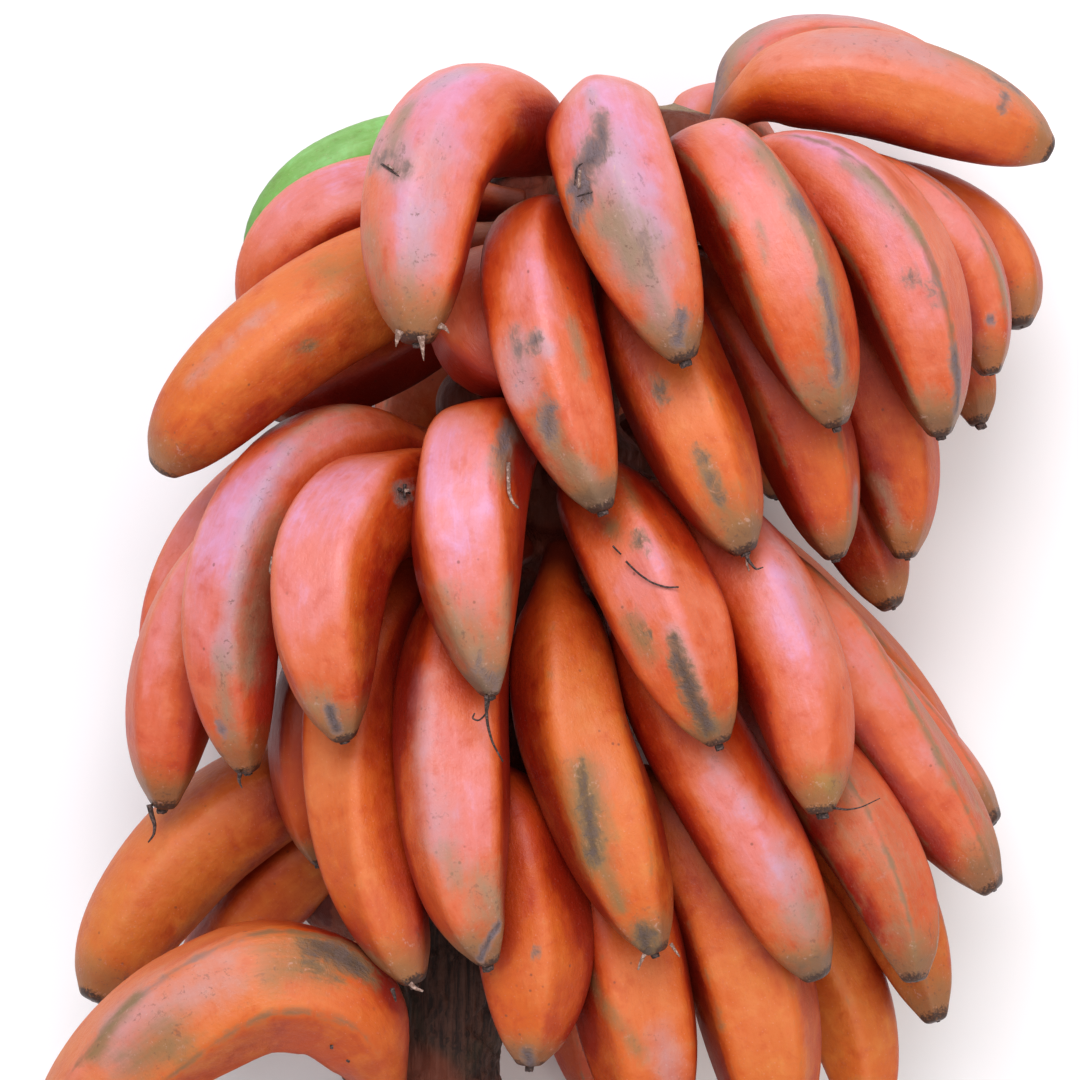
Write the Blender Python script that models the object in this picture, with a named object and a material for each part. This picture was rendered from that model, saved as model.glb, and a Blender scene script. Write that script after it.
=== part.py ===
"""A bunch of red bananas lying on its back: one stalk with its crowns, and every finger a piece of its own.

Metres, +Z up. The stalk lies along Y, its thick cut end towards -Y, and the fingertips point the same way.
The bunch rests on the plane z = 0 on the fingers of its back, and its box is centred on the origin.
"""
from __future__ import annotations

import math
from dataclasses import dataclass

import bmesh
import bpy
import numpy as np

MM = 0.001

# Stalk. Every length below is in millimetres, measured from the middle of the stalk.
STALK_ROUTE = (            # x, y and radius of the stalk, from its thick cut end to its thin end
    (-60.0, -330.0, 28.0),
    (-42.0, -215.0, 25.0),
    (-24.0, -120.0, 22.0),
    (-6.0, -30.0, 20.0),
    (10.0, 30.0, 18.5),
    (26.0, 110.0, 16.5),
    (38.0, 176.0, 12.5),
)
STALK_SIDES = 16
STALK_STEP = 14.0          # distance between the stalk's rings where it is bare
HAND_LEVEL = {1: 154.0, 2: 134.0, 3: 22.0, 4: -85.0, 5: -238.0}
CROWN_RADIUS = 30.0        # outside of the cushion that a hand of fingers grows from
CROWN_BELOW = 34.0         # how far the cushion reaches to each side of the hand's level
CROWN_ABOVE = 14.0
CROWN_SHOULDER = 10.0      # length over which the cushion rises from the stalk
FINGER_START = 38.0        # distance from the stalk's axis to where a finger begins

# Fingers.
GIRTH_AT = (               # share of a finger's length, and its radius there as a share of the greatest
    (0.00, 0.31), (0.05, 0.31), (0.10, 0.35), (0.15, 0.49), (0.21, 0.73), (0.30, 0.91), (0.45, 1.00),
    (0.60, 1.00), (0.74, 0.96), (0.84, 0.87), (0.92, 0.70), (0.97, 0.52), (1.00, 0.33),
)
RING_AT = (0.0, 0.09, 0.19, 0.31, 0.45, 0.60, 0.74, 0.86, 0.94, 1.0)
FINGER_SIDES = 10
RIDGE_DEPTH = 0.03         # how far the faces lie inside the five blunt ridges, as a share of the radius
TIP_DOME = 0.22            # height of the rounded tip, as a share of the radius
BASE_DOME = 1.2
STATIONS = 23              # points on a finger's centre line while the bunch settles
CLEARANCE = 0.9            # least gap between two fingers' round outlines
STALK_CLEARANCE = 1.0
SETTLE_ROUNDS = 400
GROUND = -104.0            # height of the ground under the stalk's axis
FOOT_BEND = 0.35           # share of its length over which a finger of the back bends down to the ground


@dataclass(frozen=True)
class Finger:
    """One banana: where it starts on its crown, the middle of its bend, its tip, and its greatest radius."""

    hand: int
    angle: float           # degrees round the stalk, from the top (+Z) towards +X
    rise: float            # start above the hand's level
    knee: tuple
    tip: tuple
    girth: float
    foot: bool = False     # lies on the ground
    peel: str = "pink"


FINGERS = (
    # Hand 1, at the thin end.
    Finger(1, 72, 8, (114, 182, 24), (203, 156, 20), 20.5, peel="orange"),
    Finger(1, 96, 12, (104, 196, -14), (174, 184, -18), 20),
    Finger(1, -98, 4, (-91, 138, -22), (-105, 86, -40), 19, peel="green"),
    Finger(1, 135, 6, (78, 176, -58), (112, 120, -84), 19, foot=True),
    Finger(1, 180, 4, (30, 168, -66), (24, 110, -88), 19, foot=True),
    Finger(1, -138, 2, (-40, 154, -56), (-70, 94, -84), 19, foot=True),
    # Hand 2, its upper row from left to right.
    Finger(2, -94, 2, (-87, 126, 14), (-102, 74, -2), 19),
    Finger(2, -68, -12, (-88, 86, 54), (-147, 30, 48), 21.5, peel="orange"),
    Finger(2, -8, 8, (-32, 156, 92), (-50, 76, 114), 22.5),
    Finger(2, 15, 6, (24, 149, 104), (51, 69, 126), 22),
    Finger(2, 37, 4, (76, 134, 88), (109, 48, 96), 22.5),
    Finger(2, 59, 2, (122, 130, 66), (154, 44, 68), 22),
    Finger(2, 82, 0, (142, 132, 28), (178, 68, 34), 20),
    Finger(2, 106, 2, (162, 134, -12), (198, 88, -4), 19, peel="orange"),
    # Hand 2, its lower row from left to right.
    Finger(2, -84, -30, (-66, 72, -4), (-106, 44, -18), 18),
    Finger(2, -38, -24, (-32, 90, 64), (-2, 50, 58), 18),
    Finger(2, -13, -20, (-7, 96, 94), (22, 12, 118), 20.5),
    Finger(2, 14, -22, (42, 80, 76), (76, -4, 96), 22, peel="orange"),
    Finger(2, 40, -22, (88, 76, 50), (114, -6, 56), 20, peel="orange"),
    Finger(2, 65, -22, (122, 76, 26), (146, -6, 28), 19, peel="orange"),
    Finger(2, 90, -26, (106, 52, -8), (142, -26, 8), 18, peel="orange"),
    Finger(2, 112, -20, (146, 92, -8), (178, 48, 2), 18, peel="orange"),
    # Hand 2, its back.
    Finger(2, 140, -14, (80, 100, -60), (104, 20, -84), 20, foot=True),
    Finger(2, 180, -18, (22, 90, -68), (28, 0, -84), 20, foot=True),
    Finger(2, -140, -14, (-36, 92, -62), (-66, 14, -84), 20, foot=True),
    # Hand 3, its upper row from left to right.
    Finger(3, -122, 14, (-112, 14, -4), (-158, -70, 0), 19),
    Finger(3, -102, 8, (-118, -2, 28), (-147, -98, 24), 20.5),
    Finger(3, -78, 8, (-109, 2, 68), (-126, -92, 64), 20),
    Finger(3, -54, 4, (-76, 10, 88), (-72, -66, 98), 23),
    Finger(3, -30, 6, (-36, 26, 96), (-18, -52, 114), 21.5),
    Finger(3, 0, 4, (34, 0, 80), (66, -75, 98), 21),
    Finger(3, 28, -4, (79, -14, 68), (106, -101, 84), 20.5),
    Finger(3, 62, -2, (122, -68, 12), (182, -138, 22), 20),
    Finger(3, 84, -2, (130, -62, -16), (186, -116, -10), 19),
    # Hand 3, its lower row from left to right.
    Finger(3, -76, -26, (-84, -52, 22), (-88, -128, 22), 18, peel="orange"),
    Finger(3, -48, -24, (-70, -56, 60), (-57, -170, 66), 20, peel="orange"),
    Finger(3, -14, -24, (-33, -50, 74), (-18, -160, 84), 22),
    Finger(3, 12, -26, (14, -55, 66), (42, -156, 84), 21, peel="orange"),
    Finger(3, 36, -30, (68, -80, 56), (106, -168, 66), 20),
    Finger(3, 62, -32, (115, -94, 42), (145, -168, 52), 18.5),
    Finger(3, 86, -32, (114, -104, -6), (160, -192, 10), 18, peel="orange"),
    # Hand 3, its back.
    Finger(3, 108, 0, (131, -52, -46), (182, -100, -46), 18.5, peel="orange"),
    Finger(3, 140, -16, (60, -36, -64), (84, -120, -82), 20, foot=True),
    Finger(3, -178, -18, (2, -38, -68), (6, -124, -86), 20, foot=True),
    Finger(3, -138, -16, (-56, -24, -60), (-78, -110, -80), 20, foot=True),
    # Hand 4.
    Finger(4, -96, -4, (-130, -116, -6), (-180, -184, 10), 20, peel="orange"),
    Finger(4, -112, -32, (-108, -142, -30), (-146, -200, -30), 19, peel="orange"),
    Finger(4, -20, -4, (-4, -118, 54), (-6, -198, 66), 20, peel="orange"),
    Finger(4, 26, -12, (28, -146, 42), (53, -240, 42), 20, peel="orange"),
    Finger(4, 54, -8, (70, -136, 30), (96, -246, 36), 20, peel="orange"),
    Finger(4, 88, -10, (106, -150, -8), (132, -240, 0), 19, peel="orange"),
    Finger(4, 125, -16, (74, -146, -46), (98, -234, -72), 20, foot=True),
    Finger(4, 165, -20, (10, -156, -66), (24, -246, -84), 20, foot=True),
    Finger(4, -145, -18, (-58, -150, -58), (-82, -236, -80), 20, foot=True),
    # Hand 5, next to the cut end.
    Finger(5, -22, 6, (-98, -170, 60), (-192, -232, 54), 25, peel="orange"),
    Finger(5, -84, -6, (-110, -246, 8), (-158, -306, 10), 20, peel="orange"),
    Finger(5, 44, -12, (16, -258, 42), (60, -318, 40), 20, peel="orange"),
    Finger(5, 96, -12, (38, -268, -6), (88, -322, -8), 19, peel="orange"),
    Finger(5, 178, -14, (-44, -270, -68), (-44, -330, -84), 20, foot=True, peel="orange"),
)

PEELS = {                  # base colour and roughness
    "pink": ((0.60, 0.17, 0.12), 0.40),
    "orange": ((0.62, 0.16, 0.04), 0.42),
    "green": ((0.22, 0.42, 0.05), 0.38),
    "stalk": ((0.10, 0.05, 0.03), 0.85),
}


def girth_share(t):
    """Radius of a finger at a share t of its length, as a share of its greatest, through GIRTH_AT."""
    at, share = np.array(GIRTH_AT).T
    slope = np.diff(share) / np.diff(at)
    before, after = slope[:-1], slope[1:]
    rising = before * after > 0
    inner = np.where(rising, 2 * before * after / np.where(rising, before + after, 1), 0)
    tangent = np.concatenate([slope[:1], inner, slope[-1:]])
    k = np.clip(np.searchsorted(at, t) - 1, 0, len(at) - 2)
    width = at[k + 1] - at[k]
    s = (np.asarray(t) - at[k]) / width
    start = (1 + 2 * s) * (1 - s) ** 2 * share[k] + s * (1 - s) ** 2 * width * tangent[k]
    end = s * s * (3 - 2 * s) * share[k + 1] + s * s * (s - 1) * width * tangent[k + 1]
    return start + end


def stalk_axis(y):
    """Centre and radius of the bare stalk at a level y along it."""
    xs, ys, radii = np.array(STALK_ROUTE).T
    return np.array([np.interp(y, ys, xs), y, 0.0]), np.interp(y, ys, radii)


def round_stalk(y, angle, radius):
    """Point at a distance from the stalk's axis, at an angle in degrees from the top towards +X."""
    turn = math.radians(angle)
    return stalk_axis(y)[0] + radius * np.array([math.sin(turn), 0.0, math.cos(turn)])


def centre_line(finger):
    """Evenly spaced points along a finger's bend, from its crown to its tip."""
    start = round_stalk(HAND_LEVEL[finger.hand] + finger.rise, finger.angle, FINGER_START)
    knee, tip = np.array(finger.knee, float), np.array(finger.tip, float)
    pull = 2 * knee - (start + tip) / 2
    u = np.linspace(0, 1, 200)[:, None]
    curve = (1 - u) ** 2 * start + 2 * u * (1 - u) * pull + u * u * tip
    run = np.concatenate([[0], np.cumsum(np.linalg.norm(np.diff(curve, axis=0), axis=1))])
    even = np.linspace(0, run[-1], STATIONS)
    return np.stack([np.interp(even, run, curve[:, axis]) for axis in range(3)], axis=1)


def push_apart(points, radii, pairs):
    """Half of each overlap between two round outlines, shared out to the points that overlap."""
    first, second = pairs
    between = points[first] - points[second]
    distance = np.linalg.norm(between, axis=1) + 1e-9
    overlap = radii[first] + radii[second] + CLEARANCE - distance
    touching = overlap > 0
    push = between[touching] / distance[touching, None] * overlap[touching, None] / 2
    move, count = np.zeros_like(points), np.zeros(len(points))
    for chosen, sign in ((first[touching], 1), (second[touching], -1)):
        np.add.at(move, chosen, sign * push)
        np.add.at(count, chosen, 1)
    return move / np.maximum(count, 1)[:, None] * 1.3


def clear_stalk(points, radii, free):
    """How far each point must move to leave the bare stalk."""
    xs, ys, stalk_radii = np.array(STALK_ROUTE).T
    y = np.clip(points[:, 1], ys[0], ys[-1])
    centre = np.stack([np.interp(y, ys, xs), y, np.zeros_like(y)], axis=1)
    away = points - centre
    distance = np.linalg.norm(away, axis=1) + 1e-9
    short = np.maximum(np.interp(y, ys, stalk_radii) + radii + STALK_CLEARANCE - distance, 0) * free
    return away / distance[:, None] * short[:, None] * 0.8


def smooth_bend(shift):
    """The shift of each point of each finger, averaged with its neighbours'."""
    smooth = shift.copy()
    smooth[:, 1:-1] = 0.25 * shift[:, :-2] + 0.5 * shift[:, 1:-1] + 0.25 * shift[:, 2:]
    smooth[:, -1] = 0.5 * shift[:, -1] + shift[:, -2] - 0.5 * shift[:, -3]
    smooth[:, 0] = 0
    return smooth


def settle(lines, radii):
    """Bend the fingers' centre lines until no two overlap, keeping their lengths and their starts."""
    count = len(lines)
    home = lines.copy()
    length = np.linalg.norm(np.diff(home, axis=1), axis=2)
    owner = np.repeat(np.arange(count), STATIONS)
    flat_radii = radii.ravel()
    free = np.tile(np.linspace(0, 1, STATIONS) > 0.12, count)
    for turn in range(SETTLE_ROUNDS):
        points = lines.reshape(-1, 3)
        if turn % 10 == 0:
            apart = np.linalg.norm(points[:, None] - points[None], axis=2)
            near = apart < flat_radii[:, None] + flat_radii[None] + 14
            pairs = np.nonzero(near & (owner[:, None] < owner[None]))
        points = points + push_apart(points, flat_radii, pairs)
        points = points + clear_stalk(points, flat_radii, free)
        points[:, 2] = np.maximum(points[:, 2], GROUND + flat_radii)
        shift = points.reshape(lines.shape) - home
        shift[:, 0] = 0
        stiffness = max(0.03, 1 - turn / (0.8 * SETTLE_ROUNDS))
        shift += stiffness * (smooth_bend(shift) - shift)
        lines = home + shift * (1 - 0.002 * stiffness)
        for k in range(1, STATIONS):
            step = lines[:, k] - lines[:, k - 1]
            step *= (length[:, k - 1] / np.linalg.norm(step, axis=1))[:, None]
            lines[:, k:] += (lines[:, k - 1] + step - lines[:, k])[:, None]
    return lines


def finger_rings(line, girth):
    """Rings of points round a finger, ridged on every other side, and the points of its two ends."""
    at = np.linspace(0, 1, STATIONS)
    rings = []
    bend = np.cross(line[STATIONS // 2] - line[0], line[-1] - line[STATIONS // 2])
    for t in RING_AT:
        centre = np.array([np.interp(t, at, line[:, axis]) for axis in range(3)])
        low, high = max(t - 0.04, 0), min(t + 0.04, 1)
        along = np.array([np.interp(high, at, line[:, a]) - np.interp(low, at, line[:, a]) for a in range(3)])
        along /= np.linalg.norm(along)
        across = bend - along * np.dot(bend, along)
        across /= np.linalg.norm(across)
        outer = np.cross(along, across)
        ring = []
        for side in range(FINGER_SIDES):
            turn = 2 * math.pi * side / FINGER_SIDES
            radius = girth * girth_share(t) * (1 - RIDGE_DEPTH * (side % 2))
            ring.append(centre + radius * (math.cos(turn) * outer + math.sin(turn) * across))
        rings.append(np.array(ring))
        if t == RING_AT[0]:
            base = centre - along * BASE_DOME
    tip = centre + along * girth * TIP_DOME
    return rings, base, tip


def bend_to_ground(line, girth):
    """Lower the free part of a finger of the back until its outside just meets the ground."""
    at = np.linspace(0, 1, STATIONS)
    share = np.clip(at / FOOT_BEND, 0, 1)
    share = share * share * (3 - 2 * share)
    for _ in range(6):
        rings, _, tip = finger_rings(line, girth)
        gap = min(min(ring[:, 2].min() for ring in rings), tip[2]) - GROUND
        line = line - np.outer(share, [0.0, 0.0, gap])
    return line


def tube_mesh(name, rings, start, end):
    """Closed mesh through rings of equal count, each end drawn to a point."""
    mesh = bpy.data.meshes.new(name)
    bm = bmesh.new()
    loops = [[bm.verts.new(point * MM) for point in ring] for ring in rings]
    first, last = bm.verts.new(start * MM), bm.verts.new(end * MM)
    sides = len(loops[0])
    for lower, upper in zip(loops, loops[1:]):
        for side in range(sides):
            after = (side + 1) % sides
            bm.faces.new((lower[side], lower[after], upper[after], upper[side]))
    for side in range(sides):
        after = (side + 1) % sides
        bm.faces.new((first, loops[0][after], loops[0][side]))
        bm.faces.new((last, loops[-1][side], loops[-1][after]))
    bmesh.ops.recalc_face_normals(bm, faces=bm.faces)
    for face in bm.faces:
        face.smooth = True
    bm.to_mesh(mesh)
    bm.free()
    return mesh


def crown_swell(y, angle):
    """How fully the crown's cushion stands out at a height and an angle, from 0 on the bare stalk to 1."""
    swell = 0.0
    for hand, level in HAND_LEVEL.items():
        near = min((y - level + CROWN_BELOW + CROWN_SHOULDER) / CROWN_SHOULDER,
                   (level + CROWN_ABOVE + CROWN_SHOULDER - y) / CROWN_SHOULDER)
        angles = [finger.angle for finger in FINGERS if finger.hand == hand]
        aside = min(abs((angle - other + 180) % 360 - 180) for other in angles)
        beside = 1 - max(aside - 15, 0) / 25
        swell = max(swell, min(max(near, 0), 1) * min(max(beside, 0), 1))
    return swell * swell * (3 - 2 * swell)


def stalk_levels():
    """Heights of the stalk's rings: even steps, and closer ones over each cushion's shoulders."""
    bottom, top = STALK_ROUTE[0][1], STALK_ROUTE[-1][1]
    levels = set(np.round(np.linspace(bottom, top, int((top - bottom) / STALK_STEP)), 1))
    for level in HAND_LEVEL.values():
        for edge in (level - CROWN_BELOW, level + CROWN_ABOVE + CROWN_SHOULDER):
            levels |= {edge - CROWN_SHOULDER, edge - CROWN_SHOULDER / 2, edge}
    kept = []
    for y in sorted(levels):
        if bottom <= y <= top and (not kept or y - kept[-1] > 3):
            kept.append(y)
    return kept


def build_stalk():
    """The stalk with a swollen crown at each hand, as one grown piece."""
    rings = []
    for y in stalk_levels():
        bare = stalk_axis(y)[1]
        ring = []
        for side in range(STALK_SIDES):
            angle = 360 * side / STALK_SIDES
            radius = bare + (CROWN_RADIUS - bare) * crown_swell(y, angle)
            ring.append(round_stalk(y, angle, radius))
        rings.append(np.array(ring))
    cut, thin = stalk_axis(STALK_ROUTE[0][1])[0], stalk_axis(STALK_ROUTE[-1][1])[0]
    return tube_mesh("stalk", rings, cut + np.array([0, -2.0, 0]), thin + np.array([0, 3.0, 0]))


def peel_material(kind):
    """One material for each colour of peel and for the stalk."""
    name = f"{kind}_skin"
    material = bpy.data.materials.get(name)
    if material is None:
        material = bpy.data.materials.new(name)
        material.use_nodes = True
        colour, roughness = PEELS[kind]
        shader = material.node_tree.nodes["Principled BSDF"]
        shader.inputs["Base Color"].default_value = (*colour, 1.0)
        shader.inputs["Roughness"].default_value = roughness
        shader.inputs["Metallic"].default_value = 0.0
        material.diffuse_color = (*colour, 1.0)
    return material


def add_object(name, mesh, kind):
    """Put a mesh in the scene under its own name, in its own skin."""
    piece = bpy.data.objects.new(name, mesh)
    piece.data.materials.append(peel_material(kind))
    bpy.context.scene.collection.objects.link(piece)
    return piece


def place(pieces):
    """Set the bunch on z = 0 with its box centred on the origin, by moving the meshes."""
    corners = np.array([list(vertex.co) for piece in pieces for vertex in piece.data.vertices])
    low, high = corners.min(axis=0), corners.max(axis=0)
    shift = np.array([-(low[0] + high[0]) / 2, -(low[1] + high[1]) / 2, -GROUND * MM])
    for piece in pieces:
        for vertex in piece.data.vertices:
            vertex.co = [round(value, 7) for value in np.array(vertex.co) + shift]
            if abs(vertex.co.z) < 1e-5:
                vertex.co.z = 0.0


def main():
    """Build the stalk and every finger."""
    for old in list(bpy.data.objects):
        bpy.data.objects.remove(old, do_unlink=True)
    at = np.linspace(0, 1, STATIONS)
    lines = np.array([centre_line(finger) for finger in FINGERS])
    radii = np.array([finger.girth * girth_share(at) for finger in FINGERS])
    lines = settle(lines, radii)
    pieces = [add_object("stalk", build_stalk(), "stalk")]
    number = {}
    for finger, line in zip(FINGERS, lines):
        number[finger.hand] = number.get(finger.hand, 0) + 1
        name = f"hand_{finger.hand}_finger_{number[finger.hand]:02d}"
        if finger.foot:
            line = bend_to_ground(line, finger.girth)
        rings, base, tip = finger_rings(line, finger.girth)
        pieces.append(add_object(name, tube_mesh(name, rings, base, tip), finger.peel))
    place(pieces)


main()
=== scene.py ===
"""The looks of a bunch of red bananas that lies on its back.

Every finger is a copy of one modelled banana, bent along its CAD node's own middle line. The stalk, the
crowns and the necks of the fingers are one grown mesh, and dried flower ends sit on the fingertips.
"""
import itertools
import logging
import math
from dataclasses import dataclass, field
from enum import Enum

import bpy
import numpy as np
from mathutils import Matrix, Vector
from mathutils.bvhtree import BVHTree


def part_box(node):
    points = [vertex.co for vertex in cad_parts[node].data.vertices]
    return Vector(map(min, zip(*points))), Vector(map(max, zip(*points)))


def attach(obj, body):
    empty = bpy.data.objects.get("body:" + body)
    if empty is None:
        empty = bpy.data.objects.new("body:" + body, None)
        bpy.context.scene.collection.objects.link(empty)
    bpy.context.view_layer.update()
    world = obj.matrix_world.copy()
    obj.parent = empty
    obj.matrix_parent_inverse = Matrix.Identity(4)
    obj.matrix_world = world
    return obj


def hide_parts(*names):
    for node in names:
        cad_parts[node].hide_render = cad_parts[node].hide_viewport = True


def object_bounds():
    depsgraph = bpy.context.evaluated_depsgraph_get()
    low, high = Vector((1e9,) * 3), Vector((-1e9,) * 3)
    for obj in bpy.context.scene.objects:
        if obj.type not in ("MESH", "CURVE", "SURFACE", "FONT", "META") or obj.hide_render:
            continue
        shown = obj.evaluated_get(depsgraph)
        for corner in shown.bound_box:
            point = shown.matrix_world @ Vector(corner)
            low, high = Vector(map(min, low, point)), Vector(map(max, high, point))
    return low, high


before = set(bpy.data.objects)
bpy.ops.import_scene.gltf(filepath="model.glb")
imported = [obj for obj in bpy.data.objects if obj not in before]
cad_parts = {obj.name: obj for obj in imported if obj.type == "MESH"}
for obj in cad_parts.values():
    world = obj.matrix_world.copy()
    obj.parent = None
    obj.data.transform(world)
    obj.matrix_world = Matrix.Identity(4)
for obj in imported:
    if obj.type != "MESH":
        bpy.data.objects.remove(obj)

CAD_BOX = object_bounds()
BODY = "root"
MM = 0.001
LOG = logging.getLogger("banana_bunch")

# Shares of a finger's length at which its CAD node has a ring of points.
RING_AT = (0.0, 0.09, 0.19, 0.31, 0.45, 0.60, 0.74, 0.86, 0.94, 1.0)
# A point on a CAD finger's side has at most this many neighbours, and its two end points have more.
MOST_JOINED = 8
# Places and shares that agree to this many decimals are the same.
DECIMALS = 6
TINY = 1e-5
# Five ridges run along a banana.
RIDGES = 5
RIDGE_STEP = 360 / RIDGES
# Shares of a finger's length between which its nose grows slimmer.
NOSE = (0.62, 1.06)
# Direction of the light that is painted into the skin's colour: pinker where the skin faces it, painted light
# laid over its real waxy bloom.
SKY = np.array([-0.08, 0.52, 0.85])
# A direction that no strand or neck runs along, from which their sides are told apart.
ASKEW = (0.31, 0.22, 0.92)


class Peel(Enum):
    """The record's slots for a finger's skin."""

    PINK = "peel_pink"
    ORANGE = "peel_orange"
    GREEN = "peel_green"


class Wear(Enum):
    """What a mark on a peel is: the channel of the wear attribute that it is drawn in."""

    SCAR = 0      # dry grey-black bruise or scratch
    OLIVE = 1     # khaki or grey-green rub
    PALE = 2      # lilac-grey bloom, and in places a painted highlight along a ridge
    LIME = 3      # yellow-green skin


# ---------------------------------------------------------------------------------------------- helpers


def deselect_all() -> None:
    """Leave object mode with nothing selected."""
    if bpy.context.object and bpy.context.object.mode != "OBJECT":
        bpy.ops.object.mode_set(mode="OBJECT")
    bpy.ops.object.select_all(action="DESELECT")


def take_up(piece: bpy.types.Object) -> None:
    """Make one object the only selected and active one.

    Args:
        piece: the object to work on.
    """
    deselect_all()
    piece.select_set(True)
    bpy.context.view_layer.objects.active = piece


def edit_whole() -> None:
    """Enter edit mode with all of the active mesh selected."""
    bpy.ops.object.mode_set(mode="EDIT")
    bpy.ops.mesh.select_all(action="SELECT")


def face_outwards() -> None:
    """Turn all faces of the mesh in edit mode outwards and leave edit mode."""
    bpy.ops.mesh.select_all(action="SELECT")
    bpy.ops.mesh.normals_make_consistent(inside=False)
    bpy.ops.object.mode_set(mode="OBJECT")


def raise_ring(rise: float, grow: float) -> None:
    """Extrude the selected ring upwards by a rise, and scale it sideways."""
    bpy.ops.mesh.extrude_region_move(TRANSFORM_OT_translate={"value": (0, 0, rise)})
    bpy.ops.transform.resize(value=(grow, grow, 1))


def close_ring(rise: float) -> None:
    """Extrude the selected ring upwards by a rise and draw it together to a point."""
    bpy.ops.mesh.extrude_region_move(TRANSFORM_OT_translate={"value": (0, 0, rise)})
    bpy.ops.mesh.merge(type="COLLAPSE")


def own_copy(piece: bpy.types.Object, name: str) -> bpy.types.Object:
    """Copy an object with a mesh of its own.

    Args:
        piece: the object to copy.
        name: the copy's name.

    Returns:
        The copy, linked to the scene.
    """
    twin = piece.copy()
    twin.data = piece.data.copy()
    twin.name = name
    twin.data.name = name
    for key in list(twin.keys()):
        del twin[key]
    bpy.context.scene.collection.objects.link(twin)
    return twin


def join(pieces: list, name: str) -> bpy.types.Object:
    """Join objects into one.

    Args:
        pieces: the objects, all at the origin.
        name: the joined object's name.

    Returns:
        The joined object.
    """
    take_up(pieces[0])
    for piece in pieces:
        piece.select_set(True)
    bpy.ops.object.join()
    whole = bpy.context.object
    whole.name = name
    whole.data.name = name
    deselect_all()
    return whole


def apply_modifier(piece: bpy.types.Object, kind: str, **settings: object) -> None:
    """Add a modifier with these settings and apply it.

    Args:
        piece: the object that gets it.
        kind: the modifier's type.
        settings: its properties.
    """
    take_up(piece)
    bpy.ops.object.modifier_add(type=kind)
    modifier = piece.modifiers[-1]
    for key, value in settings.items():
        setattr(modifier, key, value)
    bpy.ops.object.modifier_apply(modifier=modifier.name)


def read_vectors(mesh: bpy.types.Mesh, what: str) -> np.ndarray:
    """Read a vector from each vertex of a mesh.

    Args:
        mesh: the mesh.
        what: the vertices' property.

    Returns:
        The vectors, as rows.
    """
    flat = np.empty(len(mesh.vertices) * 3, np.float32)
    mesh.vertices.foreach_get(what, flat)
    return flat.reshape(-1, 3).astype(float)


def points_of(mesh: bpy.types.Mesh) -> np.ndarray:
    """All vertex places of a mesh, as rows."""
    return read_vectors(mesh, "co")


def normals_of(mesh: bpy.types.Mesh) -> np.ndarray:
    """All vertex normals of a mesh, as rows."""
    return read_vectors(mesh, "normal")


def set_points(mesh: bpy.types.Mesh, places: np.ndarray) -> None:
    """Move all vertices of a mesh, and keep them inside the CAD model's box.

    Args:
        mesh: the mesh.
        places: where its vertices go, as rows.
    """
    low, high = (np.array(corner) for corner in CAD_BOX)
    mesh.vertices.foreach_set("co", np.clip(places, low, high).astype(np.float32).ravel())
    mesh.update()


def store(mesh: bpy.types.Mesh, name: str, values: np.ndarray) -> None:
    """Store a value for each vertex under a name that a material can read.

    Args:
        mesh: the mesh that gets the attribute.
        name: the attribute's name.
        values: one row for each vertex, 3 wide for a vector or 4 wide for four separate masks.
    """
    wide = values.shape[1] == 4
    layer = mesh.attributes.new(name, "FLOAT_COLOR" if wide else "FLOAT_VECTOR", "POINT")
    layer.data.foreach_set("color" if wide else "vector", values.astype(np.float32).ravel())


def smooth_step(low: float, high: float, x: np.ndarray) -> np.ndarray:
    """0 below low, 1 above high, and an eased ramp between them."""
    s = np.clip((x - low) / (high - low), 0, 1)
    return s * s * (3 - 2 * s)


def unit(rows: np.ndarray) -> np.ndarray:
    """Rows scaled to a length of one."""
    return rows / np.linalg.norm(rows, axis=1)[:, None]


def rings_in(t: np.ndarray) -> tuple:
    """Sort points into rings by their share of the length: the rings' shares, and each point's ring."""
    levels, which = np.unique(np.round(t, DECIMALS), return_inverse=True)
    return levels, which.ravel()


def tube_along(path: np.ndarray, widths: np.ndarray, sides: int, flat: float = 1.0) -> bpy.types.Object:
    """Extrude a closed tube ring by ring and lay it along a path.

    Args:
        path: the middle line's points, as rows.
        widths: the tube's radius at each point.
        sides: how many sides it has.
        flat: its thickness for each unit of width.

    Returns:
        The tube.
    """
    runs = np.concatenate([[0], np.cumsum(np.linalg.norm(np.diff(path, axis=0), axis=1))])
    deselect_all()
    bpy.ops.mesh.primitive_circle_add(vertices=sides, radius=float(widths[0]), fill_type="NGON")
    tube = bpy.context.object
    edit_whole()
    for rise, grow in zip(np.diff(runs), widths[1:] / widths[:-1]):
        raise_ring(float(rise), float(grow))
    face_outwards()
    along = unit(np.gradient(path, axis=0))
    side = unit(np.cross(along, ASKEW))
    straight = points_of(tube.data)
    ring = np.abs(straight[:, 2:] - runs[None]).argmin(axis=1)
    up = np.cross(along, side)
    set_points(tube.data, path[ring] + straight[:, :1] * side[ring] + flat * straight[:, 1:2] * up[ring])
    return tube


# ---------------------------------------------------------------------------------------------- finishes


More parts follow.
